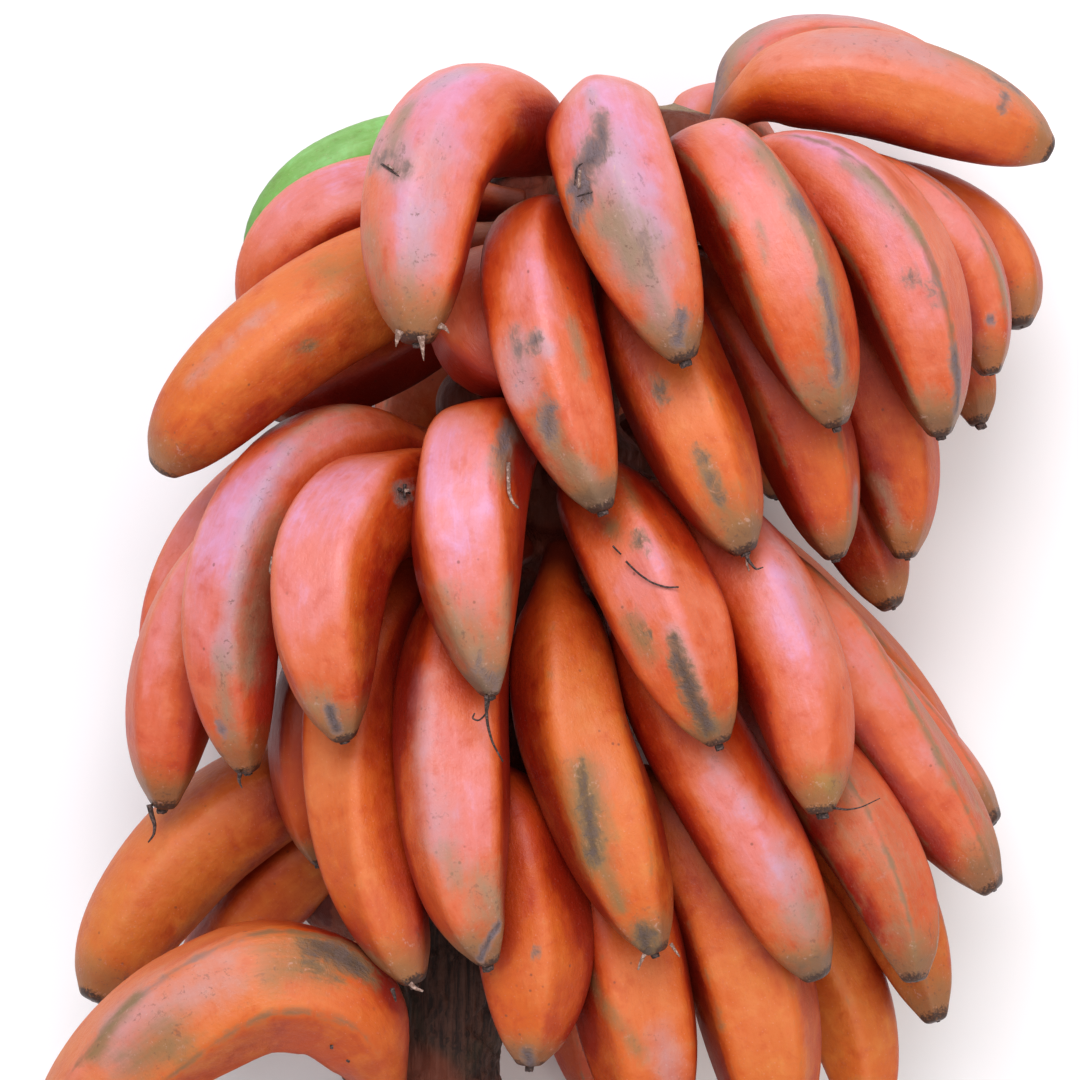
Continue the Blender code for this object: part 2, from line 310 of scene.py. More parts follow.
class NodeSheet:
    """A material's node tree, with short calls for the nodes that the finishes share."""

    def __init__(self, name: str) -> None:
        """Start an empty material with its Principled shader.

        Args:
            name: the material's name.
        """
        self.material = bpy.data.materials.new(name)
        self.material.use_nodes = True
        self.tree = self.material.node_tree
        self.shader = self.tree.nodes["Principled BSDF"]

    def add(self, kind: str, **settings: object) -> bpy.types.Node:
        """Add a node.

        Args:
            kind: the node's type.
            settings: its properties.

        Returns:
            The node.
        """
        node = self.tree.nodes.new(kind)
        for key, value in settings.items():
            setattr(node, key, value)
        return node

    def plug(self, value: object, socket: bpy.types.NodeSocket) -> None:
        """Link an output to a socket, or set the socket to a number or a colour.

        Args:
            value: an output socket, a number, or a row of numbers.
            socket: the input that takes it.
        """
        if isinstance(value, bpy.types.NodeSocket):
            self.tree.links.new(value, socket)
        elif isinstance(value, (tuple, list)):
            socket.default_value = (*value, 1.0) if len(socket.default_value) > len(value) else value
        else:
            socket.default_value = value

    def attribute(self, name: str) -> bpy.types.Node:
        """The node that reads a stored attribute."""
        return self.add("ShaderNodeAttribute", attribute_name=name)

    def channels(self, name: str) -> list:
        """Read an attribute of four separate masks.

        Args:
            name: the attribute's name.

        Returns:
            The masks' sockets.
        """
        source = self.attribute(name)
        parts = self.add("ShaderNodeSeparateColor")
        self.plug(source.outputs["Color"], parts.inputs[0])
        return [*parts.outputs[:3], source.outputs["Alpha"]]

    def place(self) -> bpy.types.NodeSocket:
        """Places on the piece, in metres in the bunch's frame."""
        return self.add("ShaderNodeTexCoord").outputs["Object"]

    def stretch(self, vector: object, scale: tuple) -> bpy.types.NodeSocket:
        """Scale a vector along each axis.

        Args:
            vector: the vector's socket.
            scale: the three factors.

        Returns:
            The scaled vector's socket.
        """
        node = self.add("ShaderNodeMapping")
        self.plug(vector, node.inputs["Vector"])
        node.inputs["Scale"].default_value = scale
        return node.outputs[0]

    def noise(self, vector: object, scale: float, detail: float = 3.0, rough: float = 0.55,
              warp: float = 0.0) -> bpy.types.NodeSocket:
        """Soft noise from 0 to 1 around 0.5.

        Args:
            vector: where it is read.
            scale: patches for each metre.
            detail: octaves.
            rough: weight of the finer octaves.
            warp: distortion.

        Returns:
            The noise value's socket.
        """
        node = self.add("ShaderNodeTexNoise")
        self.plug(vector, node.inputs["Vector"])
        for key, value in (("Scale", scale), ("Detail", detail), ("Roughness", rough), ("Distortion", warp)):
            node.inputs[key].default_value = value
        return node.outputs["Fac"]

    def cells(self, vector: object, scale: float) -> bpy.types.NodeSocket:
        """Distance to the nearest of many scattered points.

        Args:
            vector: where it is read.
            scale: points for each metre.

        Returns:
            The distance's socket.
        """
        node = self.add("ShaderNodeTexVoronoi")
        self.plug(vector, node.inputs["Vector"])
        node.inputs["Scale"].default_value = scale
        return node.outputs["Distance"]

    def math(self, operation: str, first: object, second: object) -> bpy.types.NodeSocket:
        """One sum on two numbers.

        Args:
            operation: the Math node's operation.
            first: left number or socket.
            second: right number or socket.

        Returns:
            The result's socket.
        """
        node = self.add("ShaderNodeMath", operation=operation)
        self.plug(first, node.inputs[0])
        self.plug(second, node.inputs[1])
        return node.outputs[0]

    def plus(self, first: object, second: object) -> bpy.types.NodeSocket:
        """The sum of two numbers."""
        return self.math("ADD", first, second)

    def times(self, first: object, second: object) -> bpy.types.NodeSocket:
        """The product of two numbers."""
        return self.math("MULTIPLY", first, second)

    def shake(self, value: object, *noises: tuple) -> bpy.types.NodeSocket:
        """Add noises to a value, each as its difference from a half times its weight.

        Args:
            value: the value's socket.
            noises: pairs of a noise socket and its weight.

        Returns:
            The shaken value's socket.
        """
        for source, weight in noises:
            node = self.add("ShaderNodeMath", operation="MULTIPLY_ADD")
            self.plug(source, node.inputs[0])
            node.inputs[1].default_value = weight
            node.inputs[2].default_value = -weight / 2
            value = self.plus(value, node.outputs[0])
        return value

    def within(self, mask: object, value: object) -> bpy.types.NodeSocket:
        """Keep a value only where a mask has begun."""
        return self.times(self.ramp(mask, 0.0, 0.14), value)

    def ramp(self, value: object, low: float, high: float, start: float = 0.0,
             end: float = 1.0) -> bpy.types.NodeSocket:
        """Ease a value over a range of another.

        Args:
            value: the other value's socket.
            low: where the range starts.
            high: where it ends.
            start: the result at low.
            end: the result at high.

        Returns:
            The result's socket.
        """
        node = self.add("ShaderNodeMapRange", interpolation_type="SMOOTHSTEP")
        self.plug(value, node.inputs["Value"])
        for key, number in (("From Min", low), ("From Max", high), ("To Min", start), ("To Max", end)):
            node.inputs[key].default_value = number
        return node.outputs["Result"]

    def tones(self, value: object, stops: tuple) -> bpy.types.NodeSocket:
        """Colours along a value.

        Args:
            value: the value's socket.
            stops: pairs of a place from 0 to 1 and the colour there.

        Returns:
            The colour's socket.
        """
        node = self.add("ShaderNodeValToRGB")
        band = node.color_ramp
        band.interpolation = "EASE"
        while len(band.elements) < len(stops):
            band.elements.new(1.0)
        for element, (at, colour) in zip(band.elements, stops):
            element.position = at
            element.color = (*colour, 1.0)
        self.plug(value, node.inputs["Fac"])
        return node.outputs["Color"]

    def mix(self, share: object, first: object, second: object, blend: str = "MIX") -> bpy.types.NodeSocket:
        """Mix two colours.

        Args:
            share: how much of the second, a number or a socket.
            first: colour or socket.
            second: colour or socket.
            blend: how the second is laid over the first.

        Returns:
            The mixed colour's socket.
        """
        node = self.add("ShaderNodeMix", data_type="RGBA", blend_type=blend)
        self.plug(share, node.inputs["Factor"])
        colours = [socket for socket in node.inputs if socket.type == "RGBA"]
        self.plug(first, colours[0])
        self.plug(second, colours[1])
        return [socket for socket in node.outputs if socket.type == "RGBA"][0]

    def lay(self, under: object, value: object, low: float, high: float, most: float, over: object,
            blend: str = "MIX") -> bpy.types.NodeSocket:
        """Lay a colour over another where a value has passed from low to high.

        Args:
            under: colour or socket.
            value: the value's socket.
            low: where the upper colour begins.
            high: where it has its greatest share.
            most: that share.
            over: the upper colour or its socket.
            blend: how it is laid over the first.

        Returns:
            The mixed colour's socket.
        """
        return self.mix(self.ramp(value, low, high, 0, most), under, over, blend)

    def relief(self, *layers: tuple) -> None:
        """Chain bumps into the shader's normal.

        Args:
            layers: pairs of a height socket and its depth in millimetres, coarsest first.
        """
        normal = None
        for height, depth in layers:
            node = self.add("ShaderNodeBump")
            node.inputs["Distance"].default_value = depth * MM
            node.inputs["Strength"].default_value = 1.0
            self.plug(height, node.inputs["Height"])
            if normal is not None:
                self.plug(normal, node.inputs["Normal"])
            normal = node.outputs["Normal"]
        self.plug(normal, self.shader.inputs["Normal"])

    def colour(self, value: bpy.types.NodeSocket) -> None:
        """Give the shader its base colour."""
        self.plug(value, self.shader.inputs["Base Color"])

    def roughness(self, value: bpy.types.NodeSocket) -> None:
        """Give the shader its roughness."""
        self.plug(value, self.shader.inputs["Roughness"])

    def set(self, **values: object) -> None:
        """Set the shader's own even values, with _ for a space in their names."""
        for key, value in values.items():
            self.shader.inputs[key.replace("_", " ")].default_value = value


@dataclass(frozen=True)
class PeelFinish:
    """Satin skin of a banana: pink where it faces the light and orange-red at its sides, painted light and
    shade over its real bloom.
    """

    slot: Peel
    tones: tuple                                # painted light and shade: from the shaded side to the side that faces the light
    ochre: tuple = (0.57, 0.150, 0.020)
    ruby: tuple = (0.52, 0.050, 0.026)
    mist: tuple = (1.10, 1.45, 1.75)            # mist to tan are multiplied with the skin's colour
    rust: tuple = (0.76, 0.44, 0.32)
    silk: tuple = (1.12, 1.50, 1.90)
    haze: tuple = (1.10, 1.32, 1.48)
    tan: tuple = (0.80, 0.58, 0.50)
    fleck: tuple = (0.78, 0.40, 0.37)
    dot: tuple = (0.15, 0.045, 0.025)
    chafed: tuple = (0.20, 0.105, 0.050)        # a rubbed ridge
    lilac_and_sheen: tuple = (0.38, 0.275, 0.320)
    khaki: tuple = (0.270, 0.200, 0.120)
    loam: tuple = (0.190, 0.110, 0.030)         # what rubs and scars turn to on ochre skin
    lime: tuple = (0.36, 0.33, 0.055)
    nose: tuple = (0.29, 0.125, 0.040)
    dusk: tuple = (0.135, 0.084, 0.052)
    flour: tuple = (0.60, 0.37, 0.31)
    pepper: tuple = (0.13, 0.062, 0.040)
    crust: tuple = (0.050, 0.022, 0.014)
    deep: tuple = (0.16, 0.026, 0.010)          # painted shade next to the crown
    hollow: tuple = (0.72, 0.34, 0.23)          # painted shade: multiplies the colour of skin deep in the bunch
    halo: tuple = (0.29, 0.175, 0.150)
    soot: tuple = (0.070, 0.052, 0.056)
    ash: tuple = (0.185, 0.140, 0.160)
    char: tuple = (0.078, 0.044, 0.017)         # what soot and ash turn to on ochre skin
    gloss: float = 0.41

    def material(self) -> bpy.types.Material:
        """Build the node material."""
        return PeelSheet(self).build()


class PeelSheet(NodeSheet):
    """A peel's node tree: the masks that its finger stores, noises, and the skin's colour layer by layer."""

    def __init__(self, finish: PeelFinish) -> None:
        """Read the finger's attributes, lay out the noises and start with the skin's painted light and shade,
        from its shaded to its lit side.

        Args:
            finish: the peel's colours and gloss.
        """
        super().__init__(finish.slot.value)
        self.finish = finish
        self.skin = self.attribute("skin").outputs["Vector"]
        self.bloom_and_light, self.ridge, self.tip, self.base = self.channels("peel")
        self.scar, self.olive, self.pale, self.lime = self.channels("wear")
        self.shelter, self.rubbed, self.dusk, self.tone = self.channels("state")
        self.cloud = self.noise(self.skin, 34, 4, 0.55)
        self.patch = self.noise(self.skin, 110, 4, 0.6, 0.3)
        self.flake = self.noise(self.skin, 230, 4, 0.7, 0.8)
        self.streak = self.noise(self.stretch(self.skin, (1, 1, 0.09)), 480, 3, 0.6)
        self.grain = self.noise(self.skin, 950, 3, 0.65)
        self.earth = self.ramp(self.tone, 0.44, 0.60, 0, 0.85)
        # Painted light and shade: pink where the skin faces the light, less of it deep in the bunch, read
        # through the shaded-to-lit ramp.
        open_sky = self.math("SUBTRACT", self.bloom_and_light, self.ramp(self.shelter, 0.04, 0.60, 0, 0.42))
        border = self.shake(open_sky, (self.cloud, 0.50), (self.streak, 0.13), (self.patch, 0.24))
        self.layers = self.tones(border, finish.tones)

    def build(self) -> bpy.types.Material:
        """Lay all layers and give the shader its gloss and relief.

        Returns:
            The material.
        """
        self._tint()
        self._mottle()
        covered = self._rub()
        self._end_nose()
        self._darken()
        bruise = self._scar()
        self.colour(self.layers)
        gloss = self.finish.gloss
        shine = self.ramp(self.cloud, 0.3, 0.7, gloss - 0.04, gloss + 0.08)
        shine = self.plus(shine, self.times(bruise, 0.25))
        self.roughness(self.plus(shine, self.times(covered, 0.08)))
        self.set(Specular_IOR_Level=0.32, Coat_Weight=0.04, Coat_Roughness=0.30)
        cracks = self.times(bruise, self.math("SUBTRACT", self.grain, 1.2))
        self.relief((self.cloud, 2.0), (self.patch, 0.35), (self.streak, 0.14), (self.grain, 0.20),
                    (cracks, 0.6))
        return self.material

    def coat(self, value: object, low: float, high: float, most: float, over: object,
             blend: str = "MIX") -> None:
        """Lay a colour over the layers so far, as lay does."""
        self.layers = self.lay(self.layers, value, low, high, most, over, blend)

    def cover(self, share: object, over: object) -> None:
        """Mix a share of a colour into the layers so far."""
        self.layers = self.mix(share, self.layers, over)

    def _tint(self) -> None:
        """Turn the skin ruby or ochre, by the finger and in wide patches."""
        drift = self.noise(self.skin, 21, 3, 0.5, 0.4)
        tint = self.shake(self.tone, (drift, 0.85), (self.patch, 0.40), (self.streak, 0.15))
        self.coat(tint, 0.5, 1.0, 0.85, self.finish.ochre)
        self.coat(tint, 0.5, 0.0, 0.75, self.finish.ruby)

    def _mottle(self) -> None:
        """Add cloudy patches, streaks along the finger, small pale flecks and dark dots."""
        self.coat(self.patch, 0.50, 0.70, 0.34, self.finish.mist, "MULTIPLY")
        self.coat(self.patch, 0.46, 0.28, 0.36, self.finish.rust, "MULTIPLY")
        self.coat(self.streak, 0.54, 0.76, 0.16, self.finish.silk, "MULTIPLY")
        self.coat(self.cells(self.skin, 430), 0.17, 0.05, 0.14, self.finish.fleck)
        self.coat(self.flake, 0.52, 0.74, 0.26, self.finish.haze, "MULTIPLY")
        self.coat(self.flake, 0.46, 0.26, 0.32, self.finish.tan, "MULTIPLY")
        dots = self.times(self.ramp(self.cells(self.skin, 150), 0.12, 0.05), self.ramp(self.cloud, 0.5, 0.6))
        self.cover(self.times(dots, 0.6), self.finish.dot)

    def _rub(self) -> bpy.types.NodeSocket:
        """Add rubbed ridges, a lilac wash of bloom and painted highlight, khaki rubs and yellow-green skin.

        Returns:
            The socket of how much rubs and the lilac wash cover the skin.
        """
        edge = self.shake(self.times(self.ridge, self.rubbed), (self.patch, 1.1), (self.streak, 0.5))
        self.coat(edge, 0.30, 0.75, 0.80, self.finish.chafed)
        # The lilac wash is bloom, and in places a painted highlight along a ridge.
        wash = self.shake(self.pale, (self.patch, 0.7), (self.cloud, 0.8))
        wash = self.within(self.pale, self.ramp(wash, 0.0, 1.0, 0, 0.62))
        self.cover(wash, self.finish.lilac_and_sheen)
        rubs = self.shake(self.olive, (self.patch, 0.9), (self.streak, 0.5))
        rubs = self.within(self.olive, self.ramp(rubs, 0.0, 0.95, 0, 0.82))
        self.cover(rubs, self.mix(self.earth, self.finish.khaki, self.finish.loam))
        self.coat(self.shake(self.lime, (self.patch, 0.5)), 0.2, 0.7, 0.9, self.finish.lime)
        return self.plus(rubs, wash)

    def _end_nose(self) -> None:
        """Add a khaki nose that is grey towards its dark rim, and fine specks where the skin is worn."""
        end = self.shake(self.tip, (self.patch, 0.60), (self.cloud, 0.50))
        self.coat(end, 0.16, 0.95, 0.80, self.finish.nose)
        self.coat(self.times(self.ramp(end, 0.40, 1.0), self.dusk), 0.1, 0.9, 0.9, self.finish.dusk)
        worn = self.math("MAXIMUM", self.olive, self.pale)
        worn = self.math("MAXIMUM", worn, self.ramp(self.tip, 0.0, 0.7, 0.12, 0.8))
        speck = self.shake(self.flake, (self.grain, 0.5))
        self.cover(self.times(self.ramp(speck, 0.40, 0.26, 0, 0.50), worn), self.finish.flour)
        self.cover(self.times(self.ramp(speck, 0.58, 0.72, 0, 0.75), worn), self.finish.pepper)
        rim = self.shake(self.tip, (self.grain, 0.12), (self.patch, 0.06))
        self.coat(rim, 0.955, 1.0, 1.0, self.finish.crust)

    def _darken(self) -> None:
        """Paint shade: darken the skin next to the crown and deep in the bunch."""
        self.coat(self.shake(self.base, (self.cloud, 0.3)), 0.15, 0.95, 0.9, self.finish.deep)
        self.coat(self.shelter, 0.15, 0.95, 1.0, self.finish.hollow, "MULTIPLY")

    def _scar(self) -> bpy.types.NodeSocket:
        """Add dry scars with a ragged edge and a paler rim.

        Returns:
            The socket of how much the scars cover the skin.
        """
        ragged = self.shake(self.scar, (self.flake, 1.2), (self.grain, 0.25), (self.streak, 0.5))
        rim = self.within(self.scar, self.ramp(ragged, -0.10, 0.50, 0, 0.78))
        self.cover(rim, self.mix(self.earth, self.finish.halo, self.finish.loam))
        dust = self.shake(self.flake, (self.grain, 0.3))
        soot = self.lay(self.finish.soot, dust, 0.34, 0.66, 1.0, self.finish.ash)
        soot = self.mix(self.earth, soot, self.mix(0.75, soot, self.finish.char))
        bruise = self.within(self.scar, self.ramp(ragged, 0.14, 0.86, 0, 0.92))
        self.cover(bruise, soot)
        return bruise


# Painted light and shade: each ramp runs from the shaded side's colour to the lit side's, and REDS ends in a
# painted mauve sheen.
REDS = ((0.00, (0.27, 0.014, 0.002)), (0.20, (0.44, 0.044, 0.005)), (0.38, (0.56, 0.085, 0.014)),
        (0.56, (0.62, 0.135, 0.056)), (0.76, (0.64, 0.178, 0.145)), (1.00, (0.60, 0.245, 0.360)))
EMBERS = ((0.00, (0.29, 0.018, 0.002)), (0.22, (0.45, 0.055, 0.004)), (0.46, (0.56, 0.098, 0.009)),
          (0.72, (0.62, 0.145, 0.035)), (1.00, (0.63, 0.185, 0.115)))
GREENS = ((0.00, (0.05, 0.14, 0.015)), (0.35, (0.10, 0.25, 0.030)), (0.70, (0.17, 0.38, 0.070)),
          (1.00, (0.26, 0.48, 0.150)))
PEELS = {
    Peel.PINK: PeelFinish(Peel.PINK, REDS),
    Peel.ORANGE: PeelFinish(Peel.ORANGE, EMBERS, gloss=0.46),
    Peel.GREEN: PeelFinish(Peel.GREEN, GREENS, ochre=(0.16, 0.30, 0.04), ruby=(0.10, 0.28, 0.05),
                           deep=(0.10, 0.14, 0.02), nose=(0.12, 0.16, 0.05)),
}


@dataclass(frozen=True)
class StalkFinish:
    """Fibrous dark stem: brown and green-black streaks along it, ruddy necks, pale cut ends, and painted
    shade deep in the bunch.
    """

    bark: tuple = (0.062, 0.020, 0.010)
    groove: tuple = (0.016, 0.006, 0.004)
    moss: tuple = (0.034, 0.024, 0.010)
    cushion: tuple = (0.14, 0.030, 0.012)
    neck: tuple = (0.19, 0.030, 0.010)
    hollow: tuple = (0.50, 0.25, 0.20)          # painted shade: multiplies the colour of what lies deep in the bunch
    pore: tuple = (0.07, 0.040, 0.020)
    heart: tuple = (0.27, 0.175, 0.095)

    def material(self) -> bpy.types.Material:
        """Build the node material.

        Returns:
            The material.
        """
        sheet = NodeSheet("stalk")
        place = sheet.place()
        crown, cut, neck, shelter = sheet.channels("growth")
        along = sheet.stretch(place, (1, 0.07, 1))
        fibre = sheet.noise(along, 420, 5, 0.65, 0.4)
        cord = sheet.noise(along, 130, 3, 0.5)
        cloud = sheet.noise(place, 45, 4, 0.6)
        grain = sheet.noise(place, 700, 3, 0.6)
        colour = sheet.lay(self.groove, fibre, 0.38, 0.62, 1.0, self.bark)
        colour = sheet.lay(colour, cloud, 0.5, 0.75, 0.6, self.moss)
        colour = sheet.lay(colour, sheet.shake(crown, (cloud, 1.1)), 0.25, 1.0, 0.85, self.cushion)
        skin = sheet.lay(self.neck, cloud, 0.35, 0.65, 1.0, self.cushion)
        colour = sheet.lay(colour, sheet.shake(neck, (cloud, 0.4)), 0.2, 0.8, 1.0, skin)
        # Painted shade: the stem darkens deep in the bunch.
        colour = sheet.lay(colour, shelter, 0.2, 1.0, 1.0, self.hollow, "MULTIPLY")
        ends = sheet.lay(self.pore, sheet.cells(place, 620), 0.10, 0.28, 1.0, self.heart)
        sheet.colour(sheet.lay(colour, sheet.shake(cut, (cloud, 0.5)), 0.3, 0.75, 1.0, ends))
        sheet.roughness(sheet.ramp(fibre, 0.3, 0.7, 0.82, 0.60))
        sheet.set(Specular_IOR_Level=0.35)
        sheet.relief((cloud, 3.0), (cord, 2.2), (fibre, 0.9), (grain, 0.2))
        return sheet.material


@dataclass(frozen=True)
class DriedFinish:
    """Papery dried flower parts, with folds of two tones."""

    name: str
    dark: tuple
    light: tuple

    def material(self) -> bpy.types.Material:
        """Build the node material.

        Returns:
            The material.
        """
        sheet = NodeSheet(self.name)
        fold = sheet.noise(sheet.place(), 900, 4, 0.6, 0.5)
        sheet.colour(sheet.lay(self.dark, fold, 0.44, 0.66, 1.0, self.light))
        sheet.roughness(sheet.ramp(fold, 0.3, 0.7, 0.9, 0.62))
        sheet.relief((fold, 0.6))
        return sheet.material


WITHERED = DriedFinish("dried_flower", (0.028, 0.014, 0.011), (0.120, 0.070, 0.060))
STRAW = DriedFinish("dried_straw", (0.19, 0.105, 0.075), (0.48, 0.33, 0.27))


@dataclass(frozen=True)
class FloorFinish:
    """Pale matt floor."""

    colour: tuple = (0.96, 0.96, 0.96)
    dusty: tuple = (0.94, 0.94, 0.94)

    def material(self) -> bpy.types.Material:
        """Build the node material.

        Returns:
            The material.
        """
        sheet = NodeSheet("studio_floor")
        sheet.colour(sheet.mix(sheet.noise(sheet.place(), 6), self.colour, self.dusty))
        sheet.set(Roughness=0.9, Specular_IOR_Level=0.1)
        return sheet.material


# ---------------------------------------------------------------------------------------------- looks


@dataclass(frozen=True)
class Mark:
    """A stroke on a peel, between two places: shares of the finger's length, and degrees round it from its
    outer side."""

    wear: Wear
    share: float
    turn: float
    end_share: float
    end_turn: float
    width: float           # half width in millimetres
    strength: float = 1.0


@dataclass(frozen=True)
class FingerLook:
    """How one banana differs from the modelled one."""

    turn: float = 0.0      # degrees that its ridges are turned round it
    twist: float = 0.0     # degrees that they turn over its length
    ridge: float = 0.85    # how proud the ridges stand
    plump: float = 1.0     # how much fatter it is
    pinch: float = 0.15    # how much slimmer its nose is than the modelled one's
    tone: float = 0.5      # 0 is ruby, 1 is ochre
    bloom_and_light: float = 0.0     # added to the pink of its light side, bloom and painted light
    fade: float = 0.08     # how much less pink its far half is
    painted_fill: float = 0.0      # painted light: more pink on its shaded side
    dusk: float = 0.45     # how grey its nose is
    star: float = 1.0      # size of the dried flower on its tip
    rubbed: float = 0.45   # how brown its ridges are rubbed
    marks: tuple = ()


